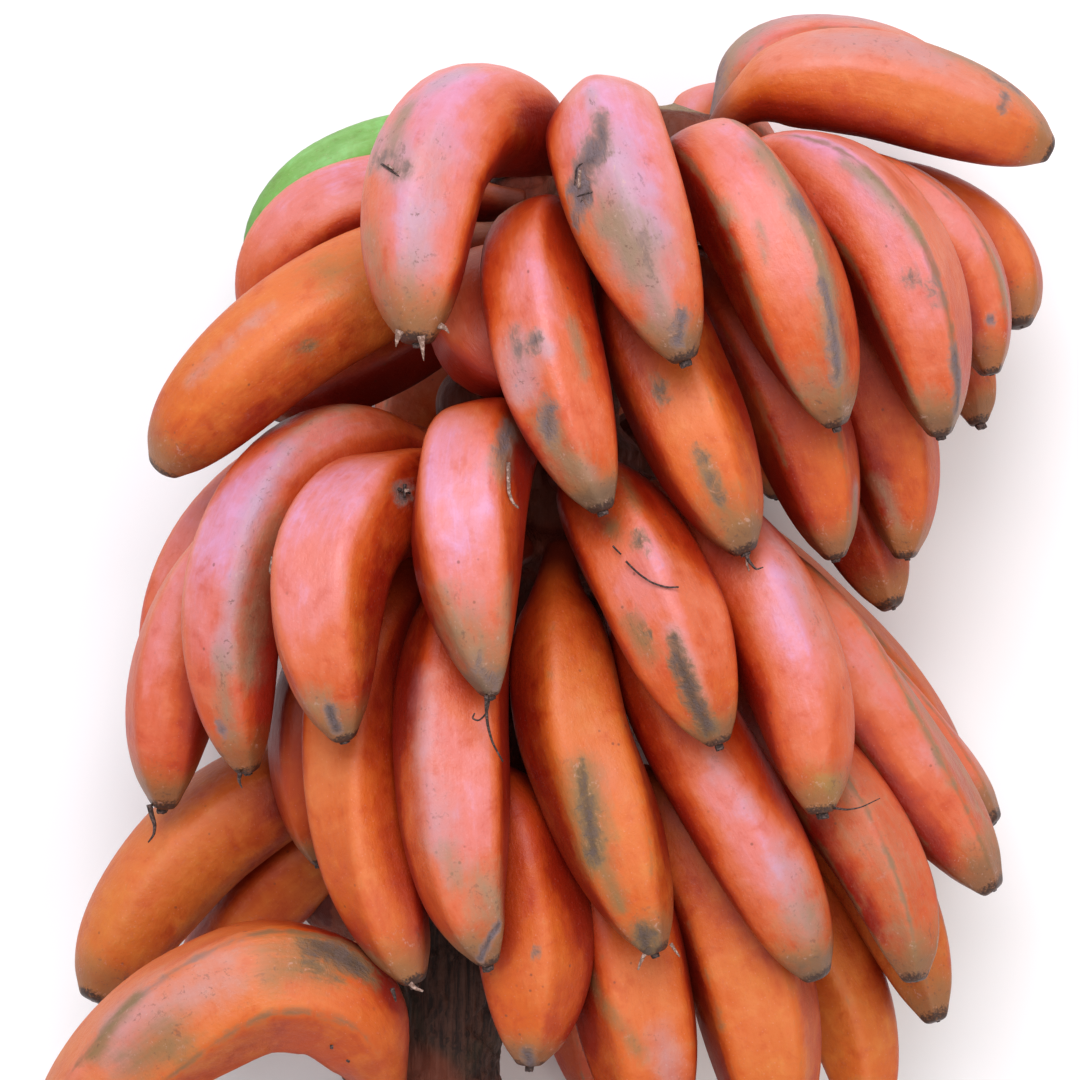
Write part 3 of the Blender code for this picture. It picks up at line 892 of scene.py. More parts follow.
SCAR, OLIVE, PALE, LIME = Wear
LOOKS = {
    "hand_1_finger_03": FingerLook(15, plump=1.13, dusk=0.3, rubbed=0.2),
    "hand_3_finger_17": FingerLook(15, plump=1.08, rubbed=0.5),
    "hand_1_finger_01": FingerLook(
        20, ridge=0.7, plump=1.04, pinch=0.05, bloom_and_light=0.14, fade=0.0, painted_fill=0.25, dusk=0.15, star=0.4,
        rubbed=0.1, marks=(
        Mark(SCAR, 0.82, -30, 0.82, -55, 1.6, 0.6), Mark(PALE, 0.62, 20, 0.80, 25, 6, 0.6),
        Mark(OLIVE, 0.86, -5, 0.94, -20, 7, 0.6), Mark(PALE, 0.40, 40, 0.55, 35, 4, 0.6),
        Mark(OLIVE, 0.62, 10, 0.80, 5, 5, 0.65), Mark(SCAR, 0.79, -2, 0.85, 3, 2.4, 0.45),
        Mark(PALE, 0.36, -20, 0.62, -12, 8, 0.6))),
    "hand_1_finger_02": FingerLook(tone=0.45, bloom_and_light=-0.1, dusk=0.7, rubbed=0.5, marks=(
        Mark(PALE, 0.30, -20, 0.60, -30, 9, 0.9), Mark(OLIVE, 0.08, -6, 0.26, -12, 10),
        Mark(SCAR, 0.06, -4, 0.16, -8, 5, 0.6))),
    "hand_2_finger_01": FingerLook(10, ridge=0.4, plump=1.08, tone=0.45, bloom_and_light=-0.04, star=0.5, rubbed=0.1),
    "hand_2_finger_02": FingerLook(
        40, ridge=0.45, plump=1.07, pinch=0.0, tone=0.72, bloom_and_light=-0.14, dusk=0.1, star=0.3, rubbed=0.15,
        marks=(
        Mark(SCAR, 0.60, 60, 0.60, 61, 1.4, 0.6), Mark(OLIVE, 0.61, 57, 0.60, 64, 4.5, 0.5),
        Mark(OLIVE, 0.49, 6, 0.46, 27, 8, 0.5), Mark(PALE, 0.62, 8, 0.80, 5, 3, 0.45),
        Mark(LIME, 0.86, -70, 1.0, -60, 4, 0.8))),
    "hand_2_finger_03": FingerLook(
        38, -60, ridge=0.55, pinch=0.0, bloom_and_light=0.12, dusk=0.35, rubbed=0.2, marks=(
        Mark(OLIVE, 0.57, 3, 0.64, 6, 4, 0.8), Mark(PALE, 0.62, -30, 0.68, 27, 6),
        Mark(SCAR, 0.65, -18, 0.69, 30, 2.0, 0.60), Mark(PALE, 0.77, 45, 0.85, 51, 5),
        Mark(PALE, 0.63, 48, 0.75, 63, 5, 0.7), Mark(OLIVE, 0.90, 35, 1.0, 60, 8, 0.6),
        Mark(OLIVE, 0.80, -15, 0.95, 5, 6, 0.6), Mark(PALE, 0.52, 18, 0.46, 30, 3.5))),
    "hand_2_finger_04": FingerLook(11, 20, ridge=0.55, bloom_and_light=0.16, dusk=0.5, rubbed=0.2, marks=(
        Mark(PALE, 0.45, 6, 0.50, 6, 2.5), Mark(SCAR, 0.52, 9, 0.56, 3, 2.6, 0.9),
        Mark(SCAR, 0.56, -3, 0.585, -25, 3.6, 0.95), Mark(SCAR, 0.585, -25, 0.61, -39, 3.2, 0.9),
        Mark(SCAR, 0.63, -27, 0.65, -54, 1.8), Mark(PALE, 0.57, 9, 0.78, 6, 9, 0.9),
        Mark(OLIVE, 0.68, -15, 0.79, 0, 8, 0.9), Mark(PALE, 0.76, 9, 0.93, -3, 5),
        Mark(OLIVE, 0.87, 0, 0.92, 3, 4, 0.6), Mark(SCAR, 0.92, 30, 0.96, 12, 2.8, 0.7),
        Mark(SCAR, 0.74, 12, 0.81, 9, 1.6, 0.45), Mark(OLIVE, 0.92, -30, 1.0, 40, 7, 0.6))),
    "hand_2_finger_05": FingerLook(12, -45, ridge=1.0, bloom_and_light=-0.07, dusk=0.5, rubbed=0.75, marks=(
        Mark(OLIVE, 0.42, 14, 0.54, 20, 4.0, 0.8), Mark(OLIVE, 0.54, 20, 0.70, 20, 5.0, 0.85),
        Mark(SCAR, 0.53, 20, 0.56, 27, 3.4, 0.7), Mark(SCAR, 0.68, 9, 0.80, 6, 1.7, 0.65),
        Mark(SCAR, 0.80, 6, 0.89, 0, 2.2, 0.7), Mark(OLIVE, 0.48, -48, 0.49, -46, 3, 0.8),
        Mark(OLIVE, 0.54, -27, 0.60, -33, 1.6, 0.7), Mark(OLIVE, 0.70, 12, 0.90, 4, 4.5, 0.9),
        Mark(OLIVE, 0.90, -40, 0.97, 0, 8, 0.7))),
    "hand_2_finger_06": FingerLook(-25, 15, ridge=1.0, bloom_and_light=0.08, dusk=0.6, rubbed=0.7, marks=(
        Mark(OLIVE, 0.42, -36, 0.60, -27, 2.6, 0.8), Mark(SCAR, 0.65, -57, 0.66, -45, 1.3, 0.6),
        Mark(SCAR, 0.70, -30, 0.71, -28, 2.6, 0.5), Mark(SCAR, 0.83, -22, 0.95, -9, 2.0, 0.75),
        Mark(OLIVE, 0.93, -72, 1.0, 30, 6, 0.7))),
    "hand_2_finger_07": FingerLook(
        -36, ridge=0.9, tone=0.42, bloom_and_light=-0.06, dusk=0.2, star=0.5, rubbed=0.5, marks=(
        Mark(OLIVE, 0.76, -30, 0.86, -24, 3, 0.8), Mark(SCAR, 0.88, -63, 0.88, -61, 1.4, 0.8))),
    "hand_2_finger_08": FingerLook(
        10, plump=1.07, pinch=0.05, tone=0.45, bloom_and_light=-0.05, dusk=0.2, star=0.4, rubbed=0.3),
    "hand_2_finger_09": FingerLook(30, tone=0.40, bloom_and_light=-0.15, dusk=0.2, star=0.4, rubbed=0.2),
    "hand_2_finger_10": FingerLook(
        10, plump=1.1, pinch=0.0, tone=0.35, bloom_and_light=-0.02, dusk=0.2, star=0.4, rubbed=0.2),
    "hand_2_finger_11": FingerLook(26, -30, ridge=0.9, bloom_and_light=-0.03, dusk=0.7, rubbed=0.3, marks=(
        Mark(PALE, 0.64, -9, 0.69, -15, 7), Mark(SCAR, 0.62, 3, 0.63, 15, 1.6, 0.7),
        Mark(SCAR, 0.61, -9, 0.64, -9, 2.2, 0.6), Mark(PALE, 0.63, 18, 0.66, 24, 3),
        Mark(SCAR, 0.77, 3, 0.81, -12, 3.0, 0.75), Mark(OLIVE, 0.80, -9, 0.86, -12, 6, 0.9),
        Mark(OLIVE, 0.87, -9, 0.97, 6, 7, 0.9), Mark(PALE, 0.93, 21, 0.97, 30, 4, 0.8),
        Mark(OLIVE, 0.60, 60, 0.71, 60, 2.5, 0.8))),
    "hand_2_finger_12": FingerLook(36, ridge=0.9, tone=0.56, bloom_and_light=-0.06, dusk=0.5, rubbed=0.3, marks=(
        Mark(SCAR, 0.75, 0, 0.78, 6, 1.6, 0.6), Mark(SCAR, 0.81, 3, 0.87, 3, 2.0, 0.6),
        Mark(OLIVE, 0.78, 3, 0.90, 0, 4, 0.8), Mark(OLIVE, 0.91, 0, 1.0, 18, 9, 0.75),
        Mark(SCAR, 0.56, -9, 0.59, -9, 2, 0.7))),
    "hand_2_finger_13": FingerLook(-18, bloom_and_light=-0.12, rubbed=0.5, marks=(
        Mark(OLIVE, 0.86, 6, 0.97, 22, 4, 0.8), Mark(PALE, 0.84, 12, 0.95, 20, 3, 0.8))),
    "hand_2_finger_14": FingerLook(
        20, plump=1.08, tone=0.45, bloom_and_light=-0.12, dusk=0.2, star=0.5, rubbed=0.4, marks=(
        Mark(OLIVE, 0.80, -120, 0.93, -100, 3, 0.7),)),
    "hand_2_finger_15": FingerLook(
        5, plump=1.1, pinch=0.0, tone=0.45, bloom_and_light=-0.12, dusk=0.2, star=0.5, rubbed=0.3),
    "hand_3_finger_01": FingerLook(30, plump=1.08, tone=0.40, bloom_and_light=-0.06, rubbed=0.2),
    "hand_3_finger_02": FingerLook(20, 60, ridge=0.8, plump=1.07, pinch=0.05, tone=0.42, rubbed=0.2),
    "hand_3_finger_03": FingerLook(
        52, 60, ridge=0.8, pinch=0.05, tone=0.42, bloom_and_light=0.12, dusk=0.4, rubbed=0.3, marks=(
        Mark(PALE, 0.62, 60, 0.78, 52, 3.5), Mark(OLIVE, 0.78, 50, 0.92, 45, 4, 0.7),
        Mark(SCAR, 0.90, 28, 0.91, 30, 1.6, 0.8), Mark(PALE, 0.42, 40, 0.60, 55, 4, 0.8),
        Mark(OLIVE, 0.54, 88, 0.80, 84, 6, 0.75), Mark(OLIVE, 0.28, 20, 0.40, 30, 6, 0.6))),
    "hand_3_finger_04": FingerLook(55, 60, ridge=0.9, bloom_and_light=0.02, rubbed=0.2, marks=(
        Mark(SCAR, 0.92, 30, 0.97, 30, 1.7), Mark(OLIVE, 0.90, 10, 0.98, 63, 6, 0.75),
        Mark(SCAR, 0.44, 67, 0.45, 75, 2.4, 0.8))),
    "hand_3_finger_05": FingerLook(
        -22, 50, ridge=0.9, pinch=0.32, bloom_and_light=0.06, dusk=1.0, rubbed=0.15, marks=(
        Mark(OLIVE, 0.84, -12, 0.96, 24, 10, 0.85), Mark(SCAR, 0.93, 8, 0.97, 34, 3.6, 0.50),
        Mark(OLIVE, 0.76, -14, 0.84, 0, 4, 0.7), Mark(OLIVE, 0.76, 66, 0.88, 54, 4, 0.7),
        Mark(SCAR, 0.42, 55, 0.49, 48, 3, 0.6), Mark(OLIVE, 0.40, 60, 0.52, 50, 4, 0.8))),
    "hand_3_finger_06": FingerLook(
        -7, -30, ridge=0.95, plump=1.06, pinch=0.2, tone=0.58, bloom_and_light=-0.06, dusk=0.5, rubbed=0.2, marks=(
        Mark(SCAR, 0.72, -21, 0.77, -24, 2.0, 0.7), Mark(SCAR, 0.78, -26, 0.87, -30, 3.0, 0.9),
        Mark(SCAR, 0.87, -30, 0.95, -30, 3.0, 0.85), Mark(PALE, 0.71, -18, 0.88, -21, 4, 0.6),
        Mark(OLIVE, 0.41, -30, 0.43, -26, 2.8), Mark(SCAR, 0.48, -12, 0.49, -8, 2.2, 0.6),
        Mark(OLIVE, 0.64, -56, 0.73, -54, 4, 0.8), Mark(SCAR, 0.64, -50, 0.69, -46, 1.3, 0.5),
        Mark(OLIVE, 0.32, 10, 0.40, 5, 3, 0.7))),
    "hand_3_finger_07": FingerLook(
        30, ridge=0.45, pinch=0.05, bloom_and_light=0.14, fade=0.3, dusk=0.0, rubbed=0.1, marks=(
        Mark(LIME, 0.94, -60, 1.0, 10, 7, 0.50), Mark(PALE, 0.40, -10, 0.60, -20, 7, 0.6),
        Mark(OLIVE, 0.95, -33, 1.0, -60, 6, 0.6))),
    "hand_3_finger_08": FingerLook(
        22, -70, ridge=0.9, plump=1.06, pinch=0.0, bloom_and_light=-0.1, dusk=0.5, star=0.5, rubbed=0.6, marks=(
        Mark(OLIVE, 0.60, -45, 0.80, -60, 2.5, 0.6), Mark(OLIVE, 0.84, -30, 0.96, -10, 4, 0.6),
        Mark(OLIVE, 0.40, 10, 0.90, 0, 15, 0.55))),
    "hand_3_finger_09": FingerLook(
        22, -60, ridge=0.9, plump=1.08, pinch=0.0, tone=0.55, bloom_and_light=-0.04, star=0.5, rubbed=0.6),
    "hand_3_finger_10": FingerLook(40, bloom_and_light=-0.12, rubbed=0.2),
    "hand_3_finger_11": FingerLook(
        60, -90, ridge=0.9, pinch=-0.05, tone=0.46, bloom_and_light=0.02, dusk=0.2, rubbed=0.2, marks=(
        Mark(OLIVE, 0.93, -18, 1.0, 30, 5, 0.7),)),
    "hand_3_finger_12": FingerLook(14, ridge=0.9, tone=0.47, bloom_and_light=-0.03, dusk=0.5, rubbed=0.15, marks=(
        Mark(SCAR, 0.92, 84, 0.96, 51, 1.5), Mark(SCAR, 0.96, 51, 0.98, 30, 1.5),
        Mark(OLIVE, 0.76, 30, 0.82, 36, 4, 0.6), Mark(OLIVE, 0.83, 70, 0.93, 92, 7, 0.7),
        Mark(OLIVE, 0.94, 30, 1.0, 78, 6, 0.6), Mark(PALE, 0.45, 10, 0.72, 20, 6, 0.6))),
    "hand_3_finger_13": FingerLook(
        6, -65, ridge=0.9, plump=1.05, tone=0.60, bloom_and_light=-0.02, dusk=0.5, rubbed=0.35, marks=(
        Mark(SCAR, 0.56, 27, 0.64, 21, 1.4, 0.8), Mark(SCAR, 0.64, 21, 0.76, 8, 2.6, 0.75),
        Mark(OLIVE, 0.58, 24, 0.77, 8, 6), Mark(OLIVE, 0.77, 12, 0.88, 10, 3, 0.9),
        Mark(SCAR, 0.96, 25, 1.0, 8, 4.0, 0.85))),
    "hand_3_finger_14": FingerLook(
        3, ridge=0.4, pinch=0.0, bloom_and_light=0.04, dusk=0.7, star=0.5, rubbed=0.1, marks=(
        Mark(OLIVE, 0.86, 20, 0.99, -12, 9, 0.6), Mark(PALE, 0.74, 18, 0.90, 10, 6, 0.6),
        Mark(PALE, 0.45, 5, 0.62, 8, 5, 0.4))),
    "hand_3_finger_15": FingerLook(
        22, -60, ridge=0.9, plump=1.05, pinch=0.0, bloom_and_light=-0.14, star=0.5, rubbed=0.7, marks=(
        Mark(OLIVE, 0.90, -84, 0.97, -66, 6, 0.7), Mark(OLIVE, 0.40, -60, 0.85, -60, 13, 0.42))),
    "hand_3_finger_16": FingerLook(10, plump=1.1, pinch=0.0, tone=0.80, bloom_and_light=-0.10, dusk=0.4, star=0.4),
    "hand_4_finger_01": FingerLook(
        20, ridge=0.35, plump=1.13, pinch=0.0, tone=0.78, bloom_and_light=-0.14, dusk=0.15, star=0.3, rubbed=0.1,
        marks=(
        Mark(OLIVE, 0.10, 20, 0.35, 25, 6, 0.6),)),
    "hand_4_finger_02": FingerLook(30, ridge=0.4, tone=0.65, bloom_and_light=-0.15, rubbed=0.1),
    "hand_4_finger_03": FingerLook(30, plump=1.16, tone=0.52, bloom_and_light=-0.08, rubbed=0.2, marks=(
        Mark(SCAR, 0.97, -63, 1.0, -57, 2.5, 0.9), Mark(SCAR, 0.67, -52, 0.67, -50, 1.3, 0.9))),
    "hand_4_finger_04": FingerLook(44, ridge=0.9, plump=1.24, tone=0.58, bloom_and_light=-0.02, rubbed=0.3, marks=(
        Mark(OLIVE, 0.52, -120, 0.72, -84, 3, 0.7), Mark(PALE, 0.70, -60, 0.85, -50, 6, 0.7))),
    "hand_4_finger_05": FingerLook(20, ridge=0.9, plump=1.26, tone=0.66, bloom_and_light=-0.04, rubbed=0.4),
    "hand_4_finger_06": FingerLook(40, plump=1.1, tone=0.78, bloom_and_light=-0.06, rubbed=0.3),
    "hand_5_finger_01": FingerLook(
        30, 60, ridge=0.8, plump=1.04, tone=0.6, bloom_and_light=-0.1, fade=-0.35, dusk=0.5, rubbed=0.6, marks=(
        Mark(OLIVE, 0.43, 52, 0.38, 45, 7, 0.8), Mark(SCAR, 0.40, 44, 0.37, 48, 2.6, 0.6),
        Mark(OLIVE, 0.44, 36, 0.34, 32, 6, 0.6), Mark(SCAR, 0.39, 27, 0.33, 30, 3.6, 0.95),
        Mark(OLIVE, 0.71, 75, 0.64, 78, 8, 0.9), Mark(OLIVE, 0.66, 28, 0.78, 45, 3, 0.9),
        Mark(PALE, 0.53, 50, 0.70, 42, 11, 0.7))),
}


def look_of(node: str, number: int) -> FingerLook:
    """A finger's own look, or one that varies with its number where it lies hidden at the back.

    Args:
        node: the finger's CAD node.
        number: its place in the bunch's list.

    Returns:
        The look.
    """
    wave = math.sin(2.4 * number)
    rub_at, scar_at = 0.50 + 0.2 * wave, 0.55 - 0.2 * wave
    spare = FingerLook(37 * number % RIDGE_STEP, 30 * wave, tone=0.5 + 0.12 * wave, bloom_and_light=0.05 * wave, marks=(
        Mark(OLIVE, rub_at, 40 * number, rub_at + 0.12, 40 * number + 15, 4, 0.8),
        Mark(SCAR, scar_at, 70 * number, scar_at + 0.05, 70 * number + 6, 2, 0.9)))
    return LOOKS.get(node, spare)


# ---------------------------------------------------------------------------------------------- fingers


@dataclass
class FingerMaster:
    """The banana that every finger is copied from: straight, one unit long and one unit in radius."""

    blunt: float = 0.21           # how far the rounding of a ridge reaches
    fullness: float = 0.55        # how full it is
    corner_points: int = 4
    face_points: int = 3
    long_side: float = 0.6        # sides longer than this share of the longest one are subdivided
    base_rises: tuple = (-0.004, -0.001)
    base_grow: float = 0.6
    tip_rise: float = 0.0005
    profile: tuple = (            # share of the length, and the radius there
        (0.000, 0.310), (0.025, 0.300), (0.055, 0.305), (0.085, 0.330), (0.115, 0.390), (0.145, 0.475),
        (0.175, 0.590), (0.205, 0.710), (0.240, 0.800), (0.280, 0.880), (0.330, 0.940), (0.390, 0.980),
        (0.450, 1.000), (0.510, 1.000), (0.570, 1.000), (0.630, 0.995), (0.690, 0.980), (0.745, 0.955),
        (0.795, 0.910), (0.840, 0.850), (0.878, 0.778), (0.908, 0.700), (0.932, 0.622), (0.952, 0.545),
        (0.968, 0.462), (0.980, 0.390), (0.990, 0.335), (0.999, 0.285), (1.006, 0.235), (1.009, 0.165),
        (1.009, 0.090),
    )
    mesh: bpy.types.Object = field(init=False)
    corner: float = field(init=False)

    def build(self) -> None:
        """Extrude the banana ring by ring from its outline, close its ends and note where a ridge is."""
        first = self.profile[0][1] / self._outline()
        master = bpy.context.object
        bpy.ops.mesh.select_all(action="SELECT")
        bpy.ops.transform.resize(value=(first, first, 1))
        for (t, radius), (after, wider) in zip(self.profile, self.profile[1:]):
            raise_ring(after - t, wider / radius)
        close_ring(self.tip_rise)
        self._close_base(master)
        face_outwards()
        apply_modifier(master, "SUBSURF", levels=1, render_levels=1)
        deselect_all()
        places = points_of(master.data)
        widest = places[np.linalg.norm(places[:, :2], axis=1).argmax()]
        self.corner = math.atan2(widest[1], widest[0])
        self.mesh = master

    def radius_at(self, share: float) -> float:
        """Radius at a share of the length, which ends at nothing past the tip."""
        return float(np.interp(share, *zip(*self.profile), right=0))

    def _outline(self) -> float:
        """Round the corners of a five-sided ring and subdivide its long sides, and stay in edit mode.

        Returns:
            How far the ring's ridges reach from its middle.
        """
        deselect_all()
        bpy.ops.mesh.primitive_circle_add(vertices=RIDGES, radius=1.0, fill_type="NOTHING",
                                          location=(0, 0, self.profile[0][0]))
        ring = bpy.context.object
        ring.name = "finger_master"
        edit_whole()
        bpy.ops.mesh.bevel(affect="VERTICES", offset=self.blunt, segments=self.corner_points,
                           profile=self.fullness)
        bpy.ops.mesh.select_all(action="DESELECT")
        bpy.ops.object.mode_set(mode="OBJECT")
        places = points_of(ring.data)
        sides = [float(np.linalg.norm(np.subtract(*places[list(edge.vertices)]))) for edge in ring.data.edges]
        for edge, side in zip(ring.data.edges, sides):
            edge.select = side > self.long_side * max(sides)
        bpy.ops.object.mode_set(mode="EDIT")
        bpy.ops.mesh.subdivide(number_cuts=self.face_points)
        return float(np.linalg.norm(places[:, :2], axis=1).max())

    def _close_base(self, master: bpy.types.Object) -> None:
        """Draw the open ring at the base together to a point.

        Args:
            master: the object in edit mode.
        """
        bpy.ops.mesh.select_all(action="DESELECT")
        bpy.ops.object.mode_set(mode="OBJECT")
        for vertex in master.data.vertices:
            vertex.select = vertex.co.z < self.profile[0][0] + TINY
        for edge in master.data.edges:
            edge.select = all(master.data.vertices[k].select for k in edge.vertices)
        bpy.ops.object.mode_set(mode="EDIT")
        raise_ring(self.base_rises[0], self.base_grow)
        close_ring(self.base_rises[1])


@dataclass
class Spine:
    """The middle line of a finger's CAD node, and the frame along it."""

    node: str
    centres: np.ndarray = field(init=False)
    girth: float = field(init=False)
    length: float = field(init=False)

    def __post_init__(self) -> None:
        """Read the node's rings: they lie one step of faces apart, from the base's point to the tip's."""
        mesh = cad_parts[self.node].data
        places, same = np.unique(np.round(points_of(mesh), DECIMALS), axis=0, return_inverse=True)
        same = same.ravel()
        neighbours = [set() for _ in places]
        for edge in mesh.edges:
            a, b = (int(same[k]) for k in edge.vertices)
            if a != b:
                neighbours[a].add(b)
                neighbours[b].add(a)
        base = self._base_end(places, neighbours)
        layer, seen, rings = {base}, {base}, []
        while len(rings) < len(RING_AT):
            layer = {n for k in layer for n in neighbours[k]} - seen
            seen |= layer
            rings.append(places[sorted(layer)])
        self.centres = np.array([ring.mean(axis=0) for ring in rings])
        self.girth = max(float(np.linalg.norm(ring - ring.mean(axis=0), axis=1).max()) for ring in rings)
        self.length = float(np.linalg.norm(np.diff(self.centres, axis=0), axis=1).sum())

    @staticmethod
    def _base_end(places: np.ndarray, neighbours: list) -> int:
        """The end point whose rings grow the least: a pedicel stays thin, a tip swells at once.

        Args:
            places: the node's points.
            neighbours: each point's neighbours.

        Returns:
            The end point next to the crown.
        """
        ends = [k for k, near in enumerate(neighbours) if len(near) > MOST_JOINED]
        growth = []
        for end in ends:
            first = neighbours[end]
            size = float(np.linalg.norm(places[list(first)] - places[end], axis=1).mean())
            second = {n for k in first for n in neighbours[k]} - first - {end}
            ring = places[list(second)]
            growth.append(float(np.linalg.norm(ring - ring.mean(axis=0), axis=1).mean()) / size)
        return ends[int(np.argmin(growth))]

    def at(self, t: np.ndarray) -> tuple:
        """Centres and directions at shares of the length, on a smooth curve through the rings' centres.

        Args:
            t: shares of the length; past 1 the line runs on straight.

        Returns:
            The centres, the directions along, towards the outer side and across, as rows.
        """
        knots = np.array(RING_AT)
        slopes = np.gradient(self.centres, knots, axis=0)
        inside = np.clip(t, 0, 1)
        k = np.clip(np.searchsorted(knots, inside, side="right") - 1, 0, len(knots) - 2)
        width = (knots[k + 1] - knots[k])[:, None]
        s = ((inside - knots[k]) / (knots[k + 1] - knots[k]))[:, None]
        places = ((1 + 2 * s) * (1 - s) ** 2 * self.centres[k] + s * (1 - s) ** 2 * width * slopes[k]
                  + s * s * (3 - 2 * s) * self.centres[k + 1] + s * s * (s - 1) * width * slopes[k + 1])
        speed = (6 * s * s - 6 * s) * self.centres[k] / width + (1 - 4 * s + 3 * s * s) * slopes[k]
        speed += (6 * s - 6 * s * s) * self.centres[k + 1] / width + (3 * s * s - 2 * s) * slopes[k + 1]
        along = unit(speed)
        places = places + along * ((t - inside) * self.length)[:, None]
        middle = self.centres[len(knots) // 2]
        bend = np.cross(middle - self.centres[0], self.centres[-1] - middle)
        across = unit(bend - along * (along @ bend)[:, None])
        return places, along, np.cross(along, across), across


@dataclass
class Shelter:
    """How deep in the bunch a spot lies: the share of the sky there that other fingers and the stem hide."""

    reach: float = 0.085
    rays: int = 22
    lift: float = 0.0025
    gain: float = 1.25            # a spot counts as fully hidden a little before all its rays are
    askew: tuple = (0.3, 0.9, 0.2)

    def __post_init__(self) -> None:
        """Gather all CAD nodes in one tree, and spread the rays evenly over a half ball."""
        corners, faces = [], []
        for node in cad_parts.values():
            start = len(corners)
            corners.extend(vertex.co.copy() for vertex in node.data.vertices)
            faces.extend(tuple(start + k for k in face.vertices) for face in node.data.polygons)
        self.tree = BVHTree.FromPolygons(corners, faces)
        step = np.arange(self.rays) + 0.5
        rise = np.sqrt(1 - step / self.rays)
        turn = step * math.pi * (3 - math.sqrt(5))
        flat = np.sqrt(1 - rise ** 2)
        self.fan = np.stack([flat * np.cos(turn), flat * np.sin(turn), rise], axis=1)

    def at(self, places: np.ndarray, normals: np.ndarray) -> np.ndarray:
        """Cast the rays from each spot.

        Args:
            places: the spots, as rows.
            normals: the directions out of the skin there.

        Returns:
            For each spot, from 0 in the open to 1 where everything near it is hidden.
        """
        shares = np.empty(len(places))
        for k, (place, normal) in enumerate(zip(places, normals)):
            side = np.cross(normal, self.askew)
            side /= np.linalg.norm(side)
            rays = self.fan @ np.stack([side, np.cross(normal, side), normal])
            start = Vector(place + normal * self.lift)
            hits = (self.tree.ray_cast(start, Vector(ray), self.reach)[3] for ray in rays)
            shares[k] = sum(1 - hit / self.reach for hit in hits if hit is not None) / self.rays
        return np.clip(shares * self.gain, 0, 1)


